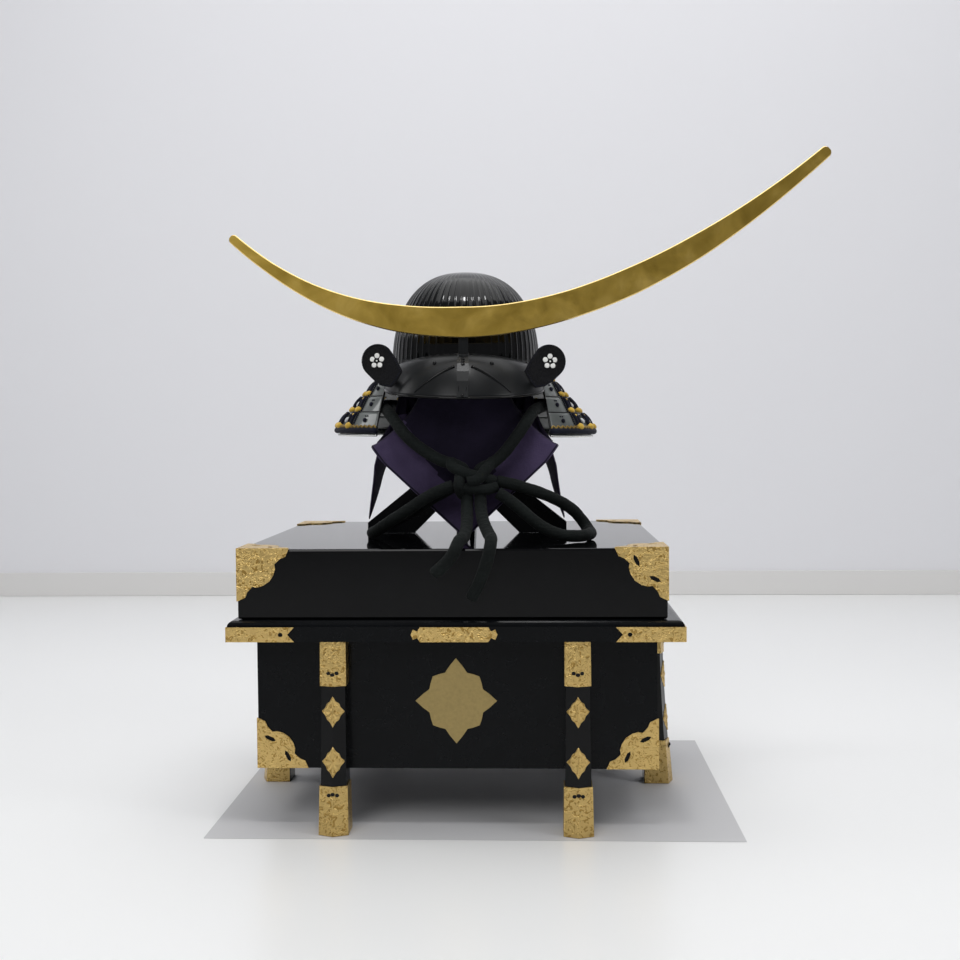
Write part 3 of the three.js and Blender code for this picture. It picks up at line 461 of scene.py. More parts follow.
def stippled_leather():
    material, nodes, links, shader = principled("stippled_leather")
    place = nodes.new("ShaderNodeTexCoord")
    cells = nodes.new("ShaderNodeTexVoronoi")
    cells.inputs["Scale"].default_value = 700
    links.new(place.outputs["Object"], cells.inputs["Vector"])
    stops = [(0.15, (0.01, 0.01, 0.012)), (0.6, (0.002, 0.002, 0.003))]
    tint = ramp_node(nodes, links, cells.outputs["Distance"], stops)
    links.new(tint, shader.inputs["Base Color"])
    shader.inputs["Roughness"].default_value = 0.6
    shader.inputs["Specular IOR Level"].default_value = 0.15
    bump_node(nodes, links, shader, cells.outputs["Distance"], -0.4)
    return material


def woven(name, dark, light, scale, depth, sheen, rough):
    """Cloth or silk: crossed fine threads over a slow change of tone."""
    material, nodes, links, shader = principled(name)
    slow = noise_node(nodes, links, 22, 4, 0.3)
    links.new(ramp_node(nodes, links, slow, [(0.3, dark), (0.7, light)]), shader.inputs["Base Color"])
    one = noise_node(nodes, links, scale, 1, 0, (1, 1, 0.2))
    two = noise_node(nodes, links, scale, 1, 0, (0.2, 0.2, 1))
    both = nodes.new("ShaderNodeMath")
    both.operation = "ADD"
    links.new(one, both.inputs[0])
    links.new(two, both.inputs[1])
    bump_node(nodes, links, shader, both.outputs[0], depth)
    shader.inputs["Roughness"].default_value = rough
    shader.inputs["Specular IOR Level"].default_value = 0.15
    shader.inputs["Sheen Weight"].default_value = sheen
    shader.inputs["Sheen Roughness"].default_value = 0.5
    return material


def make_materials():
    """Every material by the name of its look; the helpers above say what the numbers are."""
    return {
        "mirror": lacquer("mirror_lacquer", (0.0016, 0.0017, 0.002), 0.03, 0.06, 0.004, 0.2),
        "satin": lacquer("satin_lacquer", (0.002, 0.0024, 0.003), 0.14, 0.22, 0.01, 0.12),
        "helmet": lacquer("helmet_lacquer", (0.0011, 0.0012, 0.0014), 0.06, 0.11, 0.012, 0.28),
        "visor": lacquer("visor_lacquer", (0.006, 0.0065, 0.007), 0.26, 0.32, 0.02, 0.2),
        # Painted reflection: the lames are black lacquer; the grey base colour of the next material stands in
        # for the glossy grey reflection on them
        "panel": lacquer("panel_lacquer", (0.088, 0.096, 0.093), 0.08, 0.14, 0.02, 0.55),
        "gilt": engraved("engraved_gilt", (0.68, 0.48, 0.18), (0.42, 0.26, 0.07)),
        "foil": metal("flat_gilt", (0.46, 0.35, 0.15), 0.5),
        "leaf": gold_leaf(),
        "bright": metal("bright_edge", (0.95, 0.72, 0.3), 0.2),
        "silver": metal("silver_rim", (0.8, 0.8, 0.78), 0.22),
        "leather": stippled_leather(),
        "white": plain("white_enamel", (0.86, 0.86, 0.84), 0.35),
        # Painted shade: the stand's cloth is one purple crepe; the first cloth material is a much darker copy
        # of the lit one after it, painted for the shade under the helmet
        "cloth": woven("purple_crepe_painted_shade", (0.005, 0.0035, 0.011), (0.011, 0.008, 0.021), 900, 0.35, 0.05, 0.85),
        "cloth_lit": woven("purple_crepe_lit", (0.034, 0.024, 0.058), (0.058, 0.042, 0.092), 900, 0.35,
                           0.1, 0.85),
        "crepe": woven("cord_crepe", (0.0028, 0.004, 0.0038), (0.007, 0.0096, 0.009), 420, 0.8, 0.03, 0.85),
        "gold_silk": woven("gold_silk", (0.42, 0.26, 0.03), (0.7, 0.46, 0.07), 800, 0.3, 0.1, 0.5),
        "braid": woven("gold_brown_braid", (0.16, 0.1, 0.02), (0.3, 0.2, 0.05), 800, 0.3, 0.1, 0.6),
        "white_silk": woven("white_silk", (0.4, 0.41, 0.42), (0.66, 0.67, 0.68), 800, 0.3, 0.1, 0.6),
        "navy_silk": woven("navy_silk", (0.002, 0.0025, 0.008), (0.005, 0.006, 0.018), 800, 0.4, 0.06, 0.8),
        "felt": plain("black_felt", (0.003, 0.003, 0.003), 0.95),
    }


# Chin cord

def spline(points, spacing):
    """Points along a smooth curve through the given ones, about spacing apart, in millimetres."""
    source = [Vector(p) for p in points]
    out = []
    for i in range(len(source) - 1):
        a = source[max(i - 1, 0)]
        b, c = source[i], source[i + 1]
        d = source[min(i + 2, len(source) - 1)]
        steps = max(1, round((c - b).length / spacing))
        for k in range(steps):
            t = k / steps
            out.append(0.5 * ((2 * b) + (c - a) * t + (2 * a - 5 * b + 4 * c - d) * t * t
                              + (3 * b - a - 3 * c + d) * t ** 3))
    out.append(source[-1])
    return out


# Crepe of the cord: sides and step of its tube, and how far fine and slow puckers and creases move it
CREPE = {"sides": 22, "step": 1.7, "fine": 0.035, "slow": 0.05, "crease": 0.06, "rounding": 0.8,
         "knot_share": 0.46}


def crepe_tube(shape, points, radius, seed, round_end=False):
    """A puckered crepe cord along points of the chest's frame."""
    path = [world(p) for p in spline(points, CREPE["step"])]
    start, sides, tip = len(shape.points), CREPE["sides"], radius * MM * CREPE["rounding"]
    total = sum((b - a).length for a, b in zip(path, path[1:]))

    def size(share):
        left = (1 - share) * total
        if round_end and share > 0.5 and left < tip:
            return radius * MM * math.sqrt(max(0.05, 1 - (1 - left / tip) ** 2))
        return radius * MM

    shape.tube(path, size, sides)
    for i in range(start, len(shape.points)):
        row, column = divmod(i - start, sides)
        point = shape.points[i]
        away = point - path[row]
        fine = noise.noise(point * 260 + Vector((seed, 0, 0)))
        slow = noise.noise(point * 70 + Vector((0, seed, 0)))
        crease = abs(noise.noise(Vector((row * 0.16, seed, column * 0.12))))
        pucker = 1 + CREPE["fine"] * fine + CREPE["slow"] * slow - CREPE["crease"] * crease
        shape.points[i] = path[row] + away * pucker
    return [tuple(p) for p in path[::3]] + ([tuple(path[-1])] if (len(path) - 1) % 3 else [])


def make_cords(mats):
    knot = Shape()
    for seed, strand in enumerate(KNOT_STRANDS):
        crepe_tube(knot, strand, CORD["diameter"] * CREPE["knot_share"], seed + 11)
    knot_piece = knot.build("knot_wraps", mats["crepe"], "cord", replaced=("cord_knot",))
    for seed, (name, points) in enumerate(ROUTES.items()):
        shape = Shape()
        radius = CORD["diameter"] / 2
        path = crepe_tube(shape, points, radius, seed, name.startswith("tail"))
        piece = shape.build(f"{name}_crepe", mats["crepe"], "cord", replaced=(name,))
        length = sum((Vector(b) - Vector(a)).length for a, b in zip(path, path[1:]))
        far_end, lay = CORD_FACTS[name]
        tuple(world(points[0]))


# Stand cloth

def bowl_share(z):
    return (1 - (z / BOWL["height"]) ** BOWL["fullness"]) ** (1 / BOWL["fullness"])


DRAPE_HALF_WIDTH = (BOWL["width"] / 2 - BOWL["wall"]) * bowl_share(CLOTH["level"]) - CLOTH["clear"]
DRAPE_HALF_LENGTH = (BOWL["length"] / 2 - BOWL["wall"]) * bowl_share(CLOTH["level"]) - CLOTH["clear"]
DRAPE_HEIGHT = BOWL["height"] - BOWL["wall"] - CLOTH["level"] - CLOTH["under"]


def form_radius(angle):
    return 1 / math.hypot(math.sin(angle) / DRAPE_HALF_WIDTH, math.cos(angle) / DRAPE_HALF_LENGTH)


def form_arc(angle):
    a, b = form_radius(angle), DRAPE_HEIGHT
    h = ((a - b) / (a + b)) ** 2
    return math.pi / 4 * (a + b) * (1 + 3 * h / (10 + math.sqrt(4 - 3 * h)))


def cloth_reach(angle):
    """How far the cloth hangs below the head form's widest ring."""
    corner = CLOTH["side"] / math.sqrt(2)
    edge = corner / (abs(math.sin(angle)) + abs(math.cos(angle))) + CLOTH["forward"] * math.cos(angle)
    return edge - form_arc(angle)


def hanging_point(angle, length):
    """A place on the hanging cloth, a length below the ring: across, out and up in the head's frame."""
    axis = round(angle / (math.pi / 2))
    facing = axis * math.pi / 2
    local = angle - facing
    sign = 1 if local >= 0 else -1
    turn = min(abs(local), PANEL["half"])
    into = min(1, (abs(local) - turn) / (PANEL["fold_end"] - PANEL["half"]))
    run = length + form_arc(angle)
    settled = min(1, length / PANEL["settle"]) ** PANEL["ease"]
    front = axis % 2 == 0
    kind = "front" if front else "side"
    fall = PANEL[kind] * (length / PANEL[f"{kind}_down"]) ** PANEL[f"{kind}_bend"]
    near_hem = max(0, 1 - (cloth_reach(angle) - length) * PANEL["band_share"] / PANEL["band"])
    place = Vector((math.sin(angle) * WAVE["turn"], math.cos(angle) * WAVE["turn"], length / WAVE["length"]))
    drawn_in = PANEL["inset"] + WAVE["height"] * noise.noise(place)
    out = form_radius(facing) + fall + PANEL["curl"] * near_hem ** PANEL["ease"] - drawn_in * settled
    across = sign * run * math.sin(turn) * (1 if front else PANEL["narrow"])
    valley = PANEL["valley"] * run
    pleated = PANEL["pleat"] * math.sin(into * PANEL["pleats"] * math.pi) * (1 if front else -1)
    out = mix(out, valley + PANEL["room"], into) - PANEL["pleat_out"] * pleated
    across = mix(across, sign * (valley - PANEL["room"]), into) + PANEL["pleat_side"] * sign * pleated
    ring = form_radius(angle)
    x = mix(ring * math.sin(angle), out * math.sin(facing) + across * math.cos(facing), settled)
    y = mix(-ring * math.cos(angle), -out * math.cos(facing) + across * math.sin(facing), settled)
    return (x, y, -(length - settled * run * (1 - math.cos(turn))))


def cloth_point(angle, share):
    """Share runs from 0 at the crown over 1 at the widest ring to 2 at the hem."""
    if share > 1:
        return hanging_point(angle, (share - 1) * cloth_reach(angle))
    turn = share * math.pi / 2
    out = form_radius(angle) * math.sin(turn)
    return (out * math.sin(angle), -out * math.cos(angle), DRAPE_HEIGHT * math.cos(turn))


# How far up from the hem the cloth keeps its lit colour; above this band it takes a painted shade, a much
# darker copy of the same crepe
LIT_HEM_BAND = 46
HEM = {"share": 1.99, "radius": 0.9}


def make_cloth(mats):
    columns, over, below = 352, 14, 54
    rows = [i / over for i in range(1, over + 1)] + [1 + i / below for i in range(1, below + 1)]
    shape = Shape()
    angles = [j * TAU / columns for j in range(columns)]
    shape.grid([[on_head(cloth_point(angle, share)) for angle in angles] for share in rows], True)
    shape.points.append(on_head((0, 0, DRAPE_HEIGHT)))
    top = len(shape.points) - 1
    shape.faces.extend((top, (j + 1) % columns, j) for j in range(columns))
    piece = shape.build("draped_cloth", mats["cloth"], "cloth", replaced=("stand_cloth",))
    # Painted shade and light: faces above the band by the hem take the dark copy of the crepe, faces in the
    # band the lit copy
    piece.data.materials.append(mats["cloth_lit"])
    for face in piece.data.polygons:
        row, column = divmod(min(face.vertices), columns)
        angle = column * TAU / columns
        if row >= over and cloth_reach(angle) * (1 - (row - over + 1) / below) < LIT_HEM_BAND:
            face.material_index = 1
    thicken(piece, CLOTH["thick"], even=False)
    # The hem roll takes the dark painted-shade copy of the crepe
    hem = Shape()
    edge = [on_head(cloth_point(angle, HEM["share"])) for angle in angles]
    hem.tube(edge, HEM["radius"] * MM, 6, closed=True)
    hem_piece = hem.build("cloth_hem", mats["cloth"], "cloth")


# Helmet bowl, visor and crest

# Points across a plate and up the bowl, how sharp the ribs are, and how they fade towards the crown
RIBS = {"points": 8, "rows": 30, "crowd": 0.9, "sharp": 0.28, "pillow": 0.35, "fade": 2.4}


def make_bowl(mats):
    per_rib, rows = RIBS["points"], RIBS["rows"]
    columns = BOWL["ribs"] * per_rib
    power = 2 / BOWL["fullness"]
    shape = Shape()
    grid = []
    for i in range(rows):
        rise = (i / rows) ** RIBS["crowd"] * math.pi / 2
        wide = math.cos(rise) ** power
        z = math.sin(rise) ** power * BOWL["height"]
        row = []
        for j in range(columns):
            angle = (j + per_rib / 2) * TAU / columns
            phase = (j % per_rib) / per_rib
            near = min(phase, 1 - phase) * 2
            ridge = math.exp(-((near / RIBS["sharp"]) ** 2)) * BOWL["rib"]
            pillow = RIBS["pillow"] * math.sin(near * math.pi / 2)
            lift = (ridge + pillow) * min(1, RIBS["fade"] * wide)
            a, b = BOWL["width"] / 2 * wide + lift, BOWL["length"] / 2 * wide + lift
            row.append(on_helmet((a * math.sin(angle), -b * math.cos(angle), z)))
        grid.append(row)
    shape.grid(grid, True)
    shape.points.append(on_helmet((0, 0, BOWL["height"])))
    top = len(shape.points) - 1
    last = (rows - 1) * columns
    shape.faces.extend((last + j, last + (j + 1) % columns, top) for j in range(columns))
    piece = shape.build("ribbed_bowl", mats["helmet"], "helmet_lacquer", replaced=("bowl",))
    thicken(piece, BOWL["wall"])


def visor_point(across, down):
    """Across runs from -1 to 1, down from 0 at the bowl to 1 at the rim."""
    angle = across * VISOR["spread"]
    ring = VISOR["over_ribs"] + VISOR["clear"]
    wide, long = BOWL["width"] / 2 + ring, BOWL["length"] / 2 + ring
    upper = (wide * math.sin(angle), -long * math.cos(angle), mix(VISOR["rise"], VISOR["end"], across ** 2))
    bulge = VISOR["bulge"] * (1 - VISOR["flatter"] * across ** 2)
    middle = (upper[0] + bulge * math.sin(angle), upper[1] - bulge * math.cos(angle),
              upper[2] - VISOR["sag"])
    sweep = (1 - math.cos(across * VISOR["sweep"])) / (1 - math.cos(VISOR["sweep"]))
    lower = (VISOR["width"] / 2 * math.sin(across * VISOR["sweep"]) / math.sin(VISOR["sweep"]),
             mix(-(BOWL["length"] / 2 + VISOR["reach"]), -VISOR["back"], sweep),
             -mix(VISOR["front"], VISOR["corner"], across ** 2))
    u, m, low = (1 - down) ** 2, 2 * down * (1 - down), down ** 2
    return Vector([u * upper[k] + m * middle[k] + low * lower[k] for k in range(3)])


def visor_normal(across, down):
    step = 0.01
    d = min(down, 1 - step)
    a = visor_point(across + step, d) - visor_point(across - step, d)
    b = visor_point(across, d + step) - visor_point(across, max(d - step, 0))
    return b.cross(a).normalized()


# The visor's rolled rim, its rivets by across and down, and the strip's studs by down and radius
VISOR_RIM = {"radius": 1.7, "sunk": 0.4, "steps": 120}
RIVETS = {"spots": ((-0.28, 0.45), (0.28, 0.45), (-0.9, 0.3), (0.9, 0.3)), "radius": 2.8, "height": 2.4}
STUDS = {"spots": ((0.39, 2.6), (0.455, 2.6), (0.52, 2.6), (0.98, 2.4)), "lift": 2, "height": 1.8}
# The two raised brow lines, in the visor's own across and down
BROW = {"inner": 0.08, "outer": 0.43, "high": 0.54, "low": 0.95, "bend": 1.15, "thick": 2.1, "taper": 1.5,
        "lift": 0.3, "steps": 16}
# The strip down the visor's middle, and its section as shares of the half width with heights
STRIP = {"half": 7, "top": 0.05, "rows": 26}
STRIP_SECTION = ((-1, 0.5), (-0.86, 2.2), (-0.62, 2.3), (-0.5, 1.5), (0.5, 1.5), (0.62, 2.3), (0.86, 2.2),
                 (1, 0.5))


def on_visor(across, down, lift):
    return visor_point(across, down) + visor_normal(across, down) * lift


def helmet_axes(directions, sizes):
    """Half axes of a lump on the helmet, in the row's frame."""
    return [HELMET_TURN @ v * s * MM for v, s in zip(directions, sizes)]


def make_visor_plate(mats):
    columns, rows = 96, 26
    shape = Shape()
    shape.grid([[on_helmet(visor_point(2 * j / columns - 1, i / rows)) for j in range(columns + 1)]
                for i in range(rows + 1)])
    piece = shape.build("visor_plate", mats["visor"], "helmet_lacquer", replaced=("visor",))
    thicken(piece, VISOR["wall"])


def make_visor_trim(mats):
    trim = Shape()
    steps = VISOR_RIM["steps"]
    edge = [on_helmet(on_visor(2 * j / steps - 1, 1, -VISOR_RIM["sunk"])) for j in range(steps + 1)]
    trim.tube(edge, VISOR_RIM["radius"] * MM, 10)
    for across, down in RIVETS["spots"]:
        normal = visor_normal(across, down)
        side = normal.cross(Vector((0, 0, 1))).normalized()
        sizes = (RIVETS["radius"], RIVETS["radius"], RIVETS["height"])
        axes = helmet_axes((side, side.cross(normal), normal), sizes)
        trim.lump(on_helmet(visor_point(across, down)), axes)
    for down, radius in STUDS["spots"]:
        normal = visor_normal(0, down)
        right = Vector((1, 0, 0))
        over = normal.cross(right).normalized()
        axes = helmet_axes((right, over, normal), (radius, radius, STUDS["height"]))
        trim.lump(on_helmet(on_visor(0, down, STUDS["lift"])), axes)
    trim.build("visor_rim", mats["mirror"], "helmet_lacquer")


def make_brows(mats):
    brows = Shape()
    shares = [i / BROW["steps"] for i in range(BROW["steps"] + 1)]
    for side in (-1, 1):
        spots = [(side * mix(BROW["inner"], BROW["outer"], share),
                  mix(BROW["high"], BROW["low"], share ** BROW["bend"])) for share in shares]
        brows.tube([on_helmet(on_visor(*spot, BROW["lift"])) for spot in spots],
                   lambda share: (BROW["thick"] - BROW["taper"] * share) * MM, 8)
    brows.build("visor_brows", mats["helmet"], "helmet_lacquer")


def make_visor_strip(mats):
    grid = []
    for i in range(STRIP["rows"] + 1):
        down = mix(STRIP["top"], 1.0, i / STRIP["rows"])
        middle, normal = visor_point(0, down), visor_normal(0, down)
        grid.append([on_helmet(middle + Vector((x * STRIP["half"], 0, 0)) + normal * lift)
                     for x, lift in STRIP_SECTION])
    strip = Shape()
    strip.grid(grid)
    strip.build("visor_strip", mats["satin"], "helmet_lacquer")


def make_visor(mats):
    make_visor_plate(mats)
    make_visor_trim(mats)
    make_brows(mats)
    make_visor_strip(mats)


CREST_WIDTHS = ((-1, 0.3), (-0.83, 0.37), (-0.67, 0.5), (-0.48, 0.69), (-0.28, 0.87), (0, 1), (0.3, 0.91),
                (0.46, 0.885), (0.64, 0.755), (0.78, 0.59), (0.9, 0.45), (1, 0.36))


def crest_width(at):
    for (a, wide), (b, next_wide) in zip(CREST_WIDTHS, CREST_WIDTHS[1:]):
        if at <= b:
            t = max(0, (at - a) / (b - a))
            return CREST["broad"] * mix(wide, next_wide, t)
    return CREST["broad"] * CREST_WIDTHS[-1][1]


def crest_line(at):
    side = "left" if at < 0 else "right"
    return Vector((CREST["offset"] + at * CREST[side], 0,
                   CREST["low"] + CREST[f"{side}_rise"] * abs(at) ** CREST[f"{side}_curl"]))


# The crest's rounded tips: how much of each end they take, and the shares of the half width they step through
CREST_TIP = {"share": 0.02, "rounding": (0.12, 0.35, 0.65, 0.88)}


def crest_row(at, share=1.0, push=0.0):
    """A ring of eight points round the crest: share narrows it and push moves it along."""
    thick, bevel = CREST["thick"], CREST["bevel"]
    ahead = (crest_line(min(at + 0.004, 1)) - crest_line(max(at - 0.004, -1))).normalized()
    over = Vector((-ahead.z, 0, ahead.x))
    middle = crest_line(at) + ahead * push
    half = crest_width(at) / 2 * share
    inner = max(half - bevel, 0.2)
    spots = ((-half, bevel), (-half, thick - bevel), (-inner, thick), (inner, thick),
             (half, thick - bevel), (half, bevel), (inner, 0), (-inner, 0))
    return [on_helmet(middle + over * w + Vector((0, -CREST["forward"] - d, 0))) for w, d in spots]


def crest_tip(end, shares):
    """Rings that round off one end, -1 or 1, of the crest."""
    at = end * (1 - CREST_TIP["share"])
    half = end * crest_width(end) / 2
    return [crest_row(at, math.sqrt(1 - (1 - share) ** 2), half * (1 - share)) for share in shares]


def make_crest(mats):
    steps, reach = 160, 1 - CREST_TIP["share"]
    rows = crest_tip(-1, CREST_TIP["rounding"])
    rows += [crest_row(mix(-reach, reach, i / steps)) for i in range(steps + 1)]
    rows += crest_tip(1, reversed(CREST_TIP["rounding"]))
    count = len(rows[0])
    shape = Shape()
    shape.grid(rows, True)
    shape.close_ends(len(rows), count)
    piece = shape.build("crescent_crest", mats["leaf"], "gold_leaf", replaced=("crest",))
    piece.data.materials.append(mats["bright"])
    for face in piece.data.polygons:
        columns = {v % count for v in face.vertices}
        if len(columns) == 2 and columns in ({0, 1}, {1, 2}, {3, 4}, {4, 5}):
            face.material_index = 1
    smooth_by_angle(piece, 25)


# Ears and flowers

# The stem under the ear's round top, and the front's rings as shares of the outline with depths
EAR_STEM = ((-4, -25), (6, -31), (18, -33), (26, -24), (32, -13), (25, 1))
EAR_RINGS = ((1.0, 0.0), (1.0, 2.2), (0.97, 3.0), (0.9, 2.7), (0.5, 2.9), (0.2, 3.1))
# The tab that joins the ear to the first lame
EAR_TAB = {"inside": 102.8, "outside": 106, "proud": 1.3, "end": -50.3, "levels": (-14, -4)}
# Beads along the ear's edge, and the flower's petals, eye and dark heart by half sizes
PIPING = {"pitch": 2.6, "share": 0.95, "lift": 3.2, "bead": (0.8, 0.5, 0.8)}
FLOWER = {"petals": 5, "ring": 6.4, "petal": (3.3, 1.1, 3.3), "petal_lift": 4.4, "eye": (1.1, 0.8, 1.1),
          "eye_lift": 5.2, "heart": (4.2, 1.2, 4.2), "heart_lift": 3.9}
UPRIGHT = Matrix.Identity(3)


def ear_place(side, x, z, forward=0.0):
    turn = Matrix.Rotation(side * EAR["tilt"], 3, "Z")
    seat = Vector((side * EAR["out"], -EAR["forward"], EAR["up"]))
    return on_helmet(turn @ Vector((x, -forward, z)) + seat)


def lump_axes(sizes, turn=UPRIGHT):
    """Half axes of a lump from its half sizes across, deep and up, in millimetres."""
    wide, deep, high = [size * MM for size in sizes]
    return [turn @ Vector(axis) for axis in ((wide, 0, 0), (0, deep, 0), (0, 0, high))]


def ear_outline(side):
    """The ear's outline and the middle of its corners."""
    turns = [mix(0.25, 1.25, i / 32) * math.pi for i in range(33)]
    top = [(EAR["radius"] * math.cos(angle), EAR["radius"] * math.sin(angle)) for angle in turns]
    outline = [(-side * x, z) for x, z in (*top, *EAR_STEM)]
    return outline, [sum(spot[axis] for spot in outline) / len(outline) for axis in (0, 1)]


def ear_tab(shape, side):
    front, end = -EAR["forward"] - EAR_TAB["proud"], EAR_TAB["end"]
    inside, outside = EAR_TAB["inside"], EAR_TAB["outside"]
    start = len(shape.points)
    for z in EAR_TAB["levels"]:
        for x, y in ((inside, front), (outside, front), (outside, end), (inside, end)):
            shape.points.append(on_helmet((side * x, y, z)))
    shape.faces.append(tuple(range(start, start + 4)))
    shape.faces.append(tuple(range(start + 4, start + 8))[::-1])
    for k in range(4):
        m = (k + 1) % 4
        shape.faces.append((start + k, start + 4 + k, start + 4 + m, start + m))


def make_ear_plate(side, name, mats):
    outline, centre = ear_outline(side)
    shape = Shape()
    shape.grid([[ear_place(side, mix(centre[0], x, share), mix(centre[1], z, share), depth)
                 for x, z in outline] for share, depth in EAR_RINGS], True)
    shape.close_ends(len(EAR_RINGS), len(outline))
    ear_tab(shape, side)
    piece = shape.build(f"ear_plate_{name}", mats["leather"], "leather", replaced=(f"ear_{name}",))
    smooth_by_angle(piece, 50)


def make_ear_piping(side, name, mats):
    outline, centre = ear_outline(side)
    beads = Shape()
    for here, ahead in zip(outline, outline[1:] + outline[:1]):
        length = math.hypot(ahead[0] - here[0], ahead[1] - here[1])
        number = max(1, round(length / PIPING["pitch"]))
        for k in range(number):
            x, z = [mix(centre[axis], mix(here[axis], ahead[axis], k / number), PIPING["share"])
                    for axis in (0, 1)]
            beads.lump(ear_place(side, x, z, PIPING["lift"]), lump_axes(PIPING["bead"]), 4, 6)
    beads.build(f"ear_piping_{name}", mats["navy_silk"], "leather")


def make_ear_flower(side, name, mats):
    turn = HELMET_TURN @ Matrix.Rotation(side * EAR["tilt"], 3, "Z")
    flower = Shape()
    for k in range(FLOWER["petals"]):
        angle = k * TAU / FLOWER["petals"]
        x, z = FLOWER["ring"] * math.sin(angle), FLOWER["ring"] * math.cos(angle)
        flower.lump(ear_place(side, x, z, FLOWER["petal_lift"]), lump_axes(FLOWER["petal"], turn), 8, 16)
    flower.lump(ear_place(side, 0, 0, FLOWER["eye_lift"]), lump_axes(FLOWER["eye"]), 6, 10)
    flower.build(f"flower_{name}", mats["white"], "enamel", replaced=(f"ear_flower_{name}",))
    heart = Shape()
    heart.lump(ear_place(side, 0, 0, FLOWER["heart_lift"]), lump_axes(FLOWER["heart"]), 8, 16)
    heart.build(f"flower_heart_{name}", mats["helmet"], "leather")


def make_ears(mats):
    for side, name in ((-1, "left"), (1, "right")):
        make_ear_plate(side, name, mats)
        make_ear_piping(side, name, mats)
        make_ear_flower(side, name, mats)


# Neck guard

def guard_point(down, around, out):
    end = mix(GUARD["end_top"], GUARD["end_bottom"], down)
    half = mix(GUARD["top"], GUARD["bottom"], down) + out
    first = math.asin(min(1, end / half))
    angle = mix(first, TAU - first, around)
    front = mix(GUARD["top_front"], GUARD["bottom_front"], down)
    back = mix(GUARD["top_back"], GUARD["bottom_back"], down)
    deep = (front if math.cos(angle) > 0 else back) + out
    z = GUARD["start"] - GUARD["drop"] * down + GUARD["lift"] * out
    return Vector((-half * math.sin(angle), -deep * math.cos(angle), z))


def guard_normal(down, around, out):
    step = 0.004
    a = guard_point(down, min(around + step, 1), out) - guard_point(down, max(around - step, 0), out)
    b = guard_point(min(down + 0.02, 1), around, out) - guard_point(down, around, out)
    return a.cross(b).normalized() * (-1)


def on_lame(number, share, around, lift=0.0):
    """A point on a lame's outside: share runs from its top to its bottom."""
    down = (number + share) / GUARD["lames"]
    out = number * GUARD["step"]
    normal = guard_normal(down, around, out)
    point = guard_point(down, around, out)
    if normal.dot(Vector((point.x, point.y, 0))) < 0:
        normal = -normal
    return point + normal * lift, normal


def tucked_point(around, inwards, below):
    """A point of the lowest lame's turned-in hem, by shares of how far it turns in and goes down."""
    out = (GUARD["lames"] - 1) * GUARD["step"]
    point = guard_point(1, around, out - GUARD["tuck_in"] * inwards)
    point.z = guard_point(1, around, out).z - GUARD["tuck"] * below
    return on_helmet(point)


# A lame's grid, the rows of its turned-in hem and the beads along its edges
LAME = {"columns": 180, "rows": 6, "hem": (0.33, 0.66, 1), "sunk": 0.6, "bead": 1.0, "end_bead": 1.2}


def make_lame(number, mats):
    columns, lames = LAME["columns"], GUARD["lames"]
    lowest = number == lames - 1
    first, last = number / lames, (number + 1) / lames
    out = number * GUARD["step"]
    bottom = last if lowest else last + GUARD["lap"]
    rows = [mix(first, bottom, i / LAME["rows"]) for i in range(LAME["rows"] + 1)]
    arounds = [j / columns for j in range(columns + 1)]
    grid = [[on_helmet(guard_point(down, around, out)) for around in arounds] for down in rows]
    if lowest:
        grid += [[tucked_point(around, share, share) for around in arounds] for share in LAME["hem"]]
    shape = Shape()
    shape.grid(grid)
    replaced = (f"neck_lame_{number + 1}",)
    # The lames' grey base colour is a painted reflection on their black lacquer
    piece = shape.build(f"lame_plate_{number + 1}", mats["panel"], "helmet_lacquer", replaced=replaced)
    thicken(piece, GUARD["wall"])
    edge = Shape()
    for down in (rows[0], rows[-1]):
        line = [on_helmet(guard_point(down, around, out - LAME["sunk"])) for around in arounds]
        edge.tube(line, LAME["bead"] * MM, 8)
    for end in (0, 1):
        line = [on_helmet(guard_point(down, end, out - LAME["sunk"])) for down in rows]
        edge.tube(line, LAME["end_bead"] * MM, 8)
    edge.build(f"lame_edge_{number + 1}", mats["helmet"], "helmet_lacquer")


# Lacing of the neck guard: places round it are shares of its length, heights are shares of a lame
LACE = {"columns": 19, "start": 0.075, "pair": 0.0052, "gap": 0.024, "from": 0.06, "to": 0.8, "steps": 8,
        "radius": 1.9, "lift": 1.2, "bulge": 1.6, "top": 0.1}
# What lies near the ends of each lame, by distance from the end
LACE_END = {"knot": 0.032, "dashes": (0.0285, 0.0345), "beads": 0.062, "bead_steps": 9, "below": 0.9}
BRAID = {"count": 190, "step": 0.004, "lean": 1.2}
HEM_BAND = {"steps": 240, "out": 2.0, "below": 2.5, "radius": 3.7, "twist": 0.35, "turns": 700}
GUARD_RIM = {"steps": 240, "in": 0.4, "below": 0.95, "radius": 1.6}
# Lumps on the lames: height down the lame, lift off it, half sizes along, across and up, rings and sides
LUMP_COLUMNS = ("share", "lift", "sizes", "rings", "sides")
LUMPS = {kind: dict(zip(LUMP_COLUMNS, row)) for kind, *row in (
    ("gold_knot", 0.86, 1.6, (4.8, 6.2, 4.2), 7, 12),
    ("gold_tie", 0.2, 2.2, (1.8, 3.8, 1.6), 6, 10),
    ("white_cross", 0.5, 1.2, (4.2, 2.6, 2.0), 6, 10),
    ("navy_dash", 0.2, 0.8, (1.2, 4.0, 1.2), 5, 8),
    ("end_knot", 0.52, 1.0, (3.0, 3.0, 2.2), 7, 12),
    ("end_dash", 0.26, 0.4, (0.8, 1.5, 0.9), 5, 8),
    ("end_bead", 0, 0.9, (1.3, 1.6, 1.2), 5, 8),
    ("braid", 0.9, 1.2, (3.2, 1.2, 1.1), 5, 8),
)}


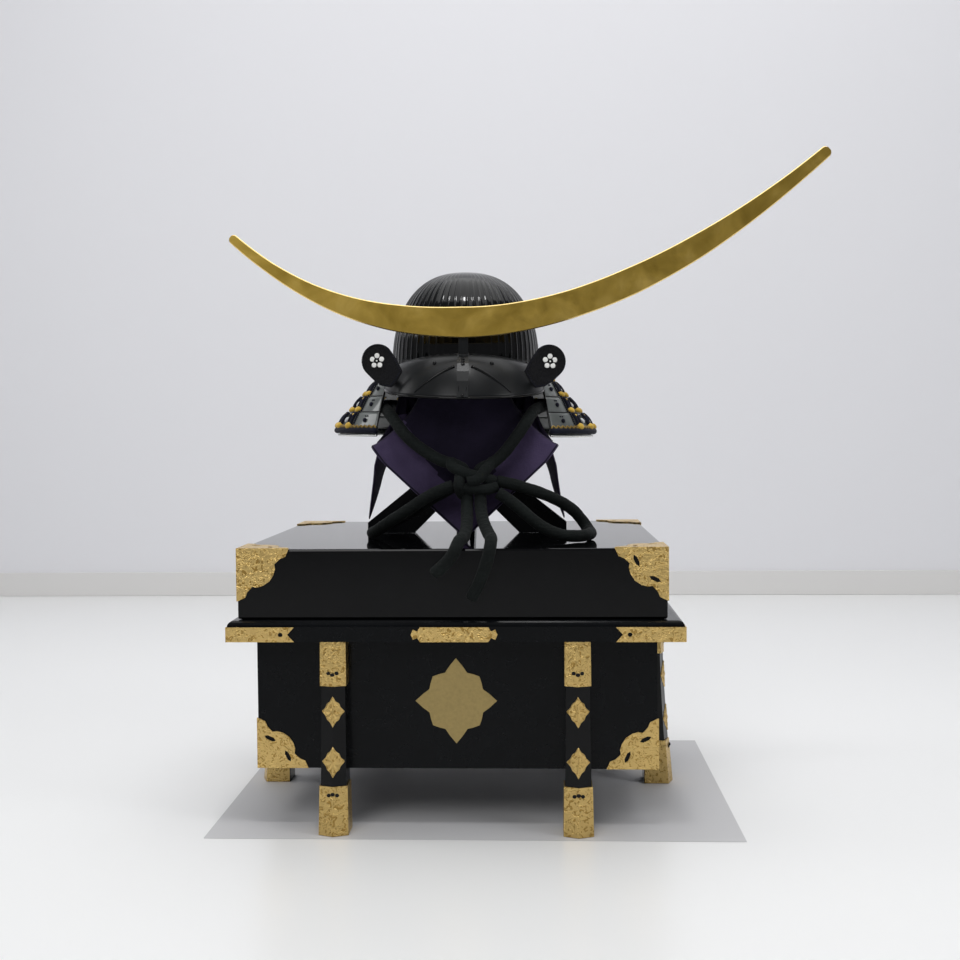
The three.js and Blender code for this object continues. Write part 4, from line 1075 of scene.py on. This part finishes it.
def lace_lump(shape, kind, number, around, along, lower=0):
    """A lump of one kind on a lame, lying along a direction; lower moves it down from its own height."""
    row = LUMPS[kind]
    point, normal = on_lame(number, row["share"] + lower, around, row["lift"])
    directions = (along.normalized(), normal.cross(along).normalized(), normal)
    shape.lump(on_helmet(point), helmet_axes(directions, row["sizes"]), row["rings"], row["sides"])


def lace_column(number, k, gold, white, navy):
    around = mix(LACE["start"], 1 - LACE["start"], k / (LACE["columns"] - 1))
    for offset in (-LACE["pair"], LACE["pair"]):
        line = []
        for i in range(LACE["steps"] + 1):
            t = i / LACE["steps"]
            lift = LACE["lift"] + LACE["bulge"] * math.sin(t * math.pi)
            share = mix(LACE["from"], LACE["to"], t)
            line.append(on_helmet(on_lame(number, share, around + offset, lift)[0]))
        navy.tube(line, LACE["radius"] * MM, 8)
    knot = LUMPS["gold_knot"]
    low = on_lame(number, knot["share"], around, knot["lift"])[0]
    along = low - on_lame(number, LACE["top"], around)[0]
    lace_lump(gold, "gold_knot", number, around, along)
    lace_lump(gold, "gold_tie", number, around, along)
    if k < LACE["columns"] - 1:
        lace_lump(white, "white_cross", number, around + LACE["gap"], along)
        lace_lump(navy, "navy_dash", number, around + LACE["gap"], along)


def lace_end(number, side, navy):
    """The knot, dashes and row of beads near one end, 0 or 1, of a lame."""
    def spot(distance):
        return distance if side == 0 else 1 - distance

    around, knot = spot(LACE_END["knot"]), LUMPS["end_knot"]
    low = on_lame(number, LACE_END["below"], around)[0]
    along = low - on_lame(number, knot["share"], around, knot["lift"])[0]
    lace_lump(navy, "end_knot", number, around, along)
    for distance in LACE_END["dashes"]:
        lace_lump(navy, "end_dash", number, spot(distance), along)
    steps = LACE_END["bead_steps"]
    for i in range(steps + 1):
        lace_lump(navy, "end_bead", number, spot(LACE_END["beads"]), along, i / steps)


def make_braid(mats):
    last, row = GUARD["lames"] - 1, LUMPS["braid"]
    braid = Shape()
    for i in range(BRAID["count"]):
        around = (i + 0.5) / BRAID["count"]
        normal = on_lame(last, row["share"], around, row["lift"])[1]
        after = on_lame(last, row["share"], min(around + BRAID["step"], 1), row["lift"])[0]
        before = on_lame(last, row["share"], max(around - BRAID["step"], 0), row["lift"])[0]
        ahead = after - before
        down = normal.cross(ahead).normalized()
        lean = (ahead.normalized() + down * (BRAID["lean"] if i % 2 else -BRAID["lean"])).normalized()
        lace_lump(braid, "braid", last, around, lean)
    braid.build("guard_braid", mats["braid"], "helmet_lacquer")


def hem_band(navy):
    """The thick navy roll along the lowest lame's hem."""
    last, steps = GUARD["lames"] - 1, HEM_BAND["steps"]
    below = Vector((0, 0, -HEM_BAND["below"]))
    line = [on_helmet(on_lame(last, 1.0, j / steps, HEM_BAND["out"])[0] + below) for j in range(steps + 1)]
    twist, turns = HEM_BAND["twist"], HEM_BAND["turns"]
    navy.tube(line, lambda share: (HEM_BAND["radius"] + twist * math.sin(share * turns)) * MM, 12)


def make_lacing(mats):
    gold, white, navy = Shape(), Shape(), Shape()
    for number in range(GUARD["lames"]):
        for k in range(LACE["columns"]):
            lace_column(number, k, gold, white, navy)
        for side in (0, 1):
            lace_end(number, side, navy)
    hem_band(navy)
    gold.build("gold_lacing", mats["gold_silk"], "helmet_lacquer")
    make_braid(mats)
    white.build("white_lacing", mats["white_silk"], "helmet_lacquer")
    navy.build("navy_lacing", mats["navy_silk"], "helmet_lacquer")


def make_guard_rim(mats):
    steps = GUARD_RIM["steps"]
    rim = Shape()
    line = [tucked_point(j / steps, GUARD_RIM["in"], GUARD_RIM["below"]) for j in range(steps + 1)]
    rim.tube(line, GUARD_RIM["radius"] * MM, 10)
    rim.build("guard_rim", mats["silver"], "helmet_lacquer")


# Legs' medallions, felt and other fittings

def leg_front(z, across, lift=0.0):
    """A point on a leg's two front faces, in the leg's own frame."""
    levels = [share * CHEST["top"] for share in LEG_LEVELS]
    flares = [(1 - level / CHEST["top"]) ** LEG["bend"] for level in levels]
    i = next(k for k in range(1, len(levels)) if levels[k] >= z)
    flare = mix(flares[i - 1], flares[i], (z - levels[i - 1]) / (levels[i] - levels[i - 1]))
    half = mix(LEG["top"], LEG["toe"], flare) / 2
    reach = mix(LEG["reach_top"], LEG["reach_toe"], flare)
    ridge = mix(LEG["ridge_top"], LEG["ridge_toe"], flare)
    return Vector((across, -(reach + ridge * (1 - abs(across) / half)) - lift, z))


LEG_SPOTS = (
    ("front_left", (-LEG["spread"] / 2, -CHEST["depth"] / 2), 0),
    ("front_right", (LEG["spread"] / 2, -CHEST["depth"] / 2), 0),
    ("right", (CHEST["width"] / 2, 0), math.pi / 2),
    ("back_right", (LEG["spread"] / 2, CHEST["depth"] / 2), math.pi),
    ("back_left", (-LEG["spread"] / 2, CHEST["depth"] / 2), math.pi),
    ("left", (-CHEST["width"] / 2, 0), -math.pi / 2),
)
# The lozenges on the legs: heights, half sizes, outline and relief
LOZENGE = {"levels": (143, 85), "wide": 13.5, "high": 18, "round": 0.12, "notch": 0.09, "base": 0.4,
           "edge": 0.1, "petal": 0.9, "boss": 1.6, "boss_share": 0.16, "rim": 0.8, "rim_at": 0.9,
           "rim_share": 0.06}
# Small piercings over and under the lozenges, by height and across, with their half sizes
PIERCINGS = ((188, -4.6), (186.5, 0), (188, 4.6), (47, -4.6), (48.5, 0), (47, 4.6))
PIERCING = {"sizes": ((2.7, 0, 0), (0, 1.4, 0), (0, 0, 2.3)), "lift": 1.6}


def medallion(shape, place, middle):
    """A lobed lozenge with petals in relief, over a leg's ridge."""
    spokes, rings = 48, 10
    rows = []
    for i in range(rings + 1):
        share = i / rings
        row = []
        for k in range(spokes):
            angle = k * TAU / spokes
            diamond = 1 / (abs(math.cos(angle)) + abs(math.sin(angle)))
            edge = mix(diamond, 1, LOZENGE["round"]) * (1 - LOZENGE["notch"] * math.sin(4 * angle) ** 2)
            x = LOZENGE["wide"] * edge * share * math.cos(angle)
            z = LOZENGE["high"] * edge * share * math.sin(angle)
            petals = LOZENGE["petal"] * math.cos(4 * angle) ** 2 * math.sin(share * math.pi) ** 1.5
            boss = LOZENGE["boss"] * math.exp(-((share / LOZENGE["boss_share"]) ** 2))
            rim = LOZENGE["rim"] * math.exp(-(((share - LOZENGE["rim_at"]) / LOZENGE["rim_share"]) ** 2))
            lift = LOZENGE["base"] + petals + boss + rim if share < 1 else LOZENGE["edge"]
            row.append(place(leg_front(middle + z, x, lift)))
        rows.append(row)
    shape.grid(rows, True)


def make_leg_trim(mats):
    for name, (x, y), turn in LEG_SPOTS:
        spin = Matrix.Rotation(turn, 3, "Z")

        def place(point):
            return world(spin @ point + Vector((x, y, 0)))

        shape, holes = Shape(), Shape()
        for middle in LOZENGE["levels"]:
            medallion(shape, place, middle)
        for z, across in PIERCINGS:
            axes = [spin @ Vector(v) * MM for v in PIERCING["sizes"]]
            holes.lump(place(leg_front(z, across, PIERCING["lift"])), axes, 6, 10)
        shape.build(f"leg_medallions_{name}", mats["gilt"], "gilt")
        holes.build(f"leg_piercings_{name}", mats["felt"], "gilt")


def dress_nodes(mats):
    looks = {
        "chest_body": "satin", "chest_lid": "mirror", "chest_ornament": "foil", "leg_": "mirror",
        "shoe_": "gilt", "collar_": "gilt", "lid_corner_": "gilt", "chest_corner_": "gilt",
        "rim_strap_": "gilt", "rim_bar_": "gilt",
        "stand_board": "satin", "stand_cross": "satin", "stand_post": "satin", "head_form": "felt",
        "crest_holder": "visor",
    }
    for name, node in frame["nodes"].items():
        for start, look in looks.items():
            if name.startswith(start):
                for material_slot in node.material_slots:
                    material_slot.material = mats[look]


def main():
    make_camera()
    mats = make_materials()
    make_cords(mats)
    make_stage()
    make_light()
    make_cloth(mats)
    make_bowl(mats)
    make_visor(mats)
    make_crest(mats)
    make_ears(mats)
    for number in range(GUARD["lames"]):
        make_lame(number, mats)
    make_lacing(mats)
    make_guard_rim(mats)
    make_leg_trim(mats)
    dress_nodes(mats)


main()
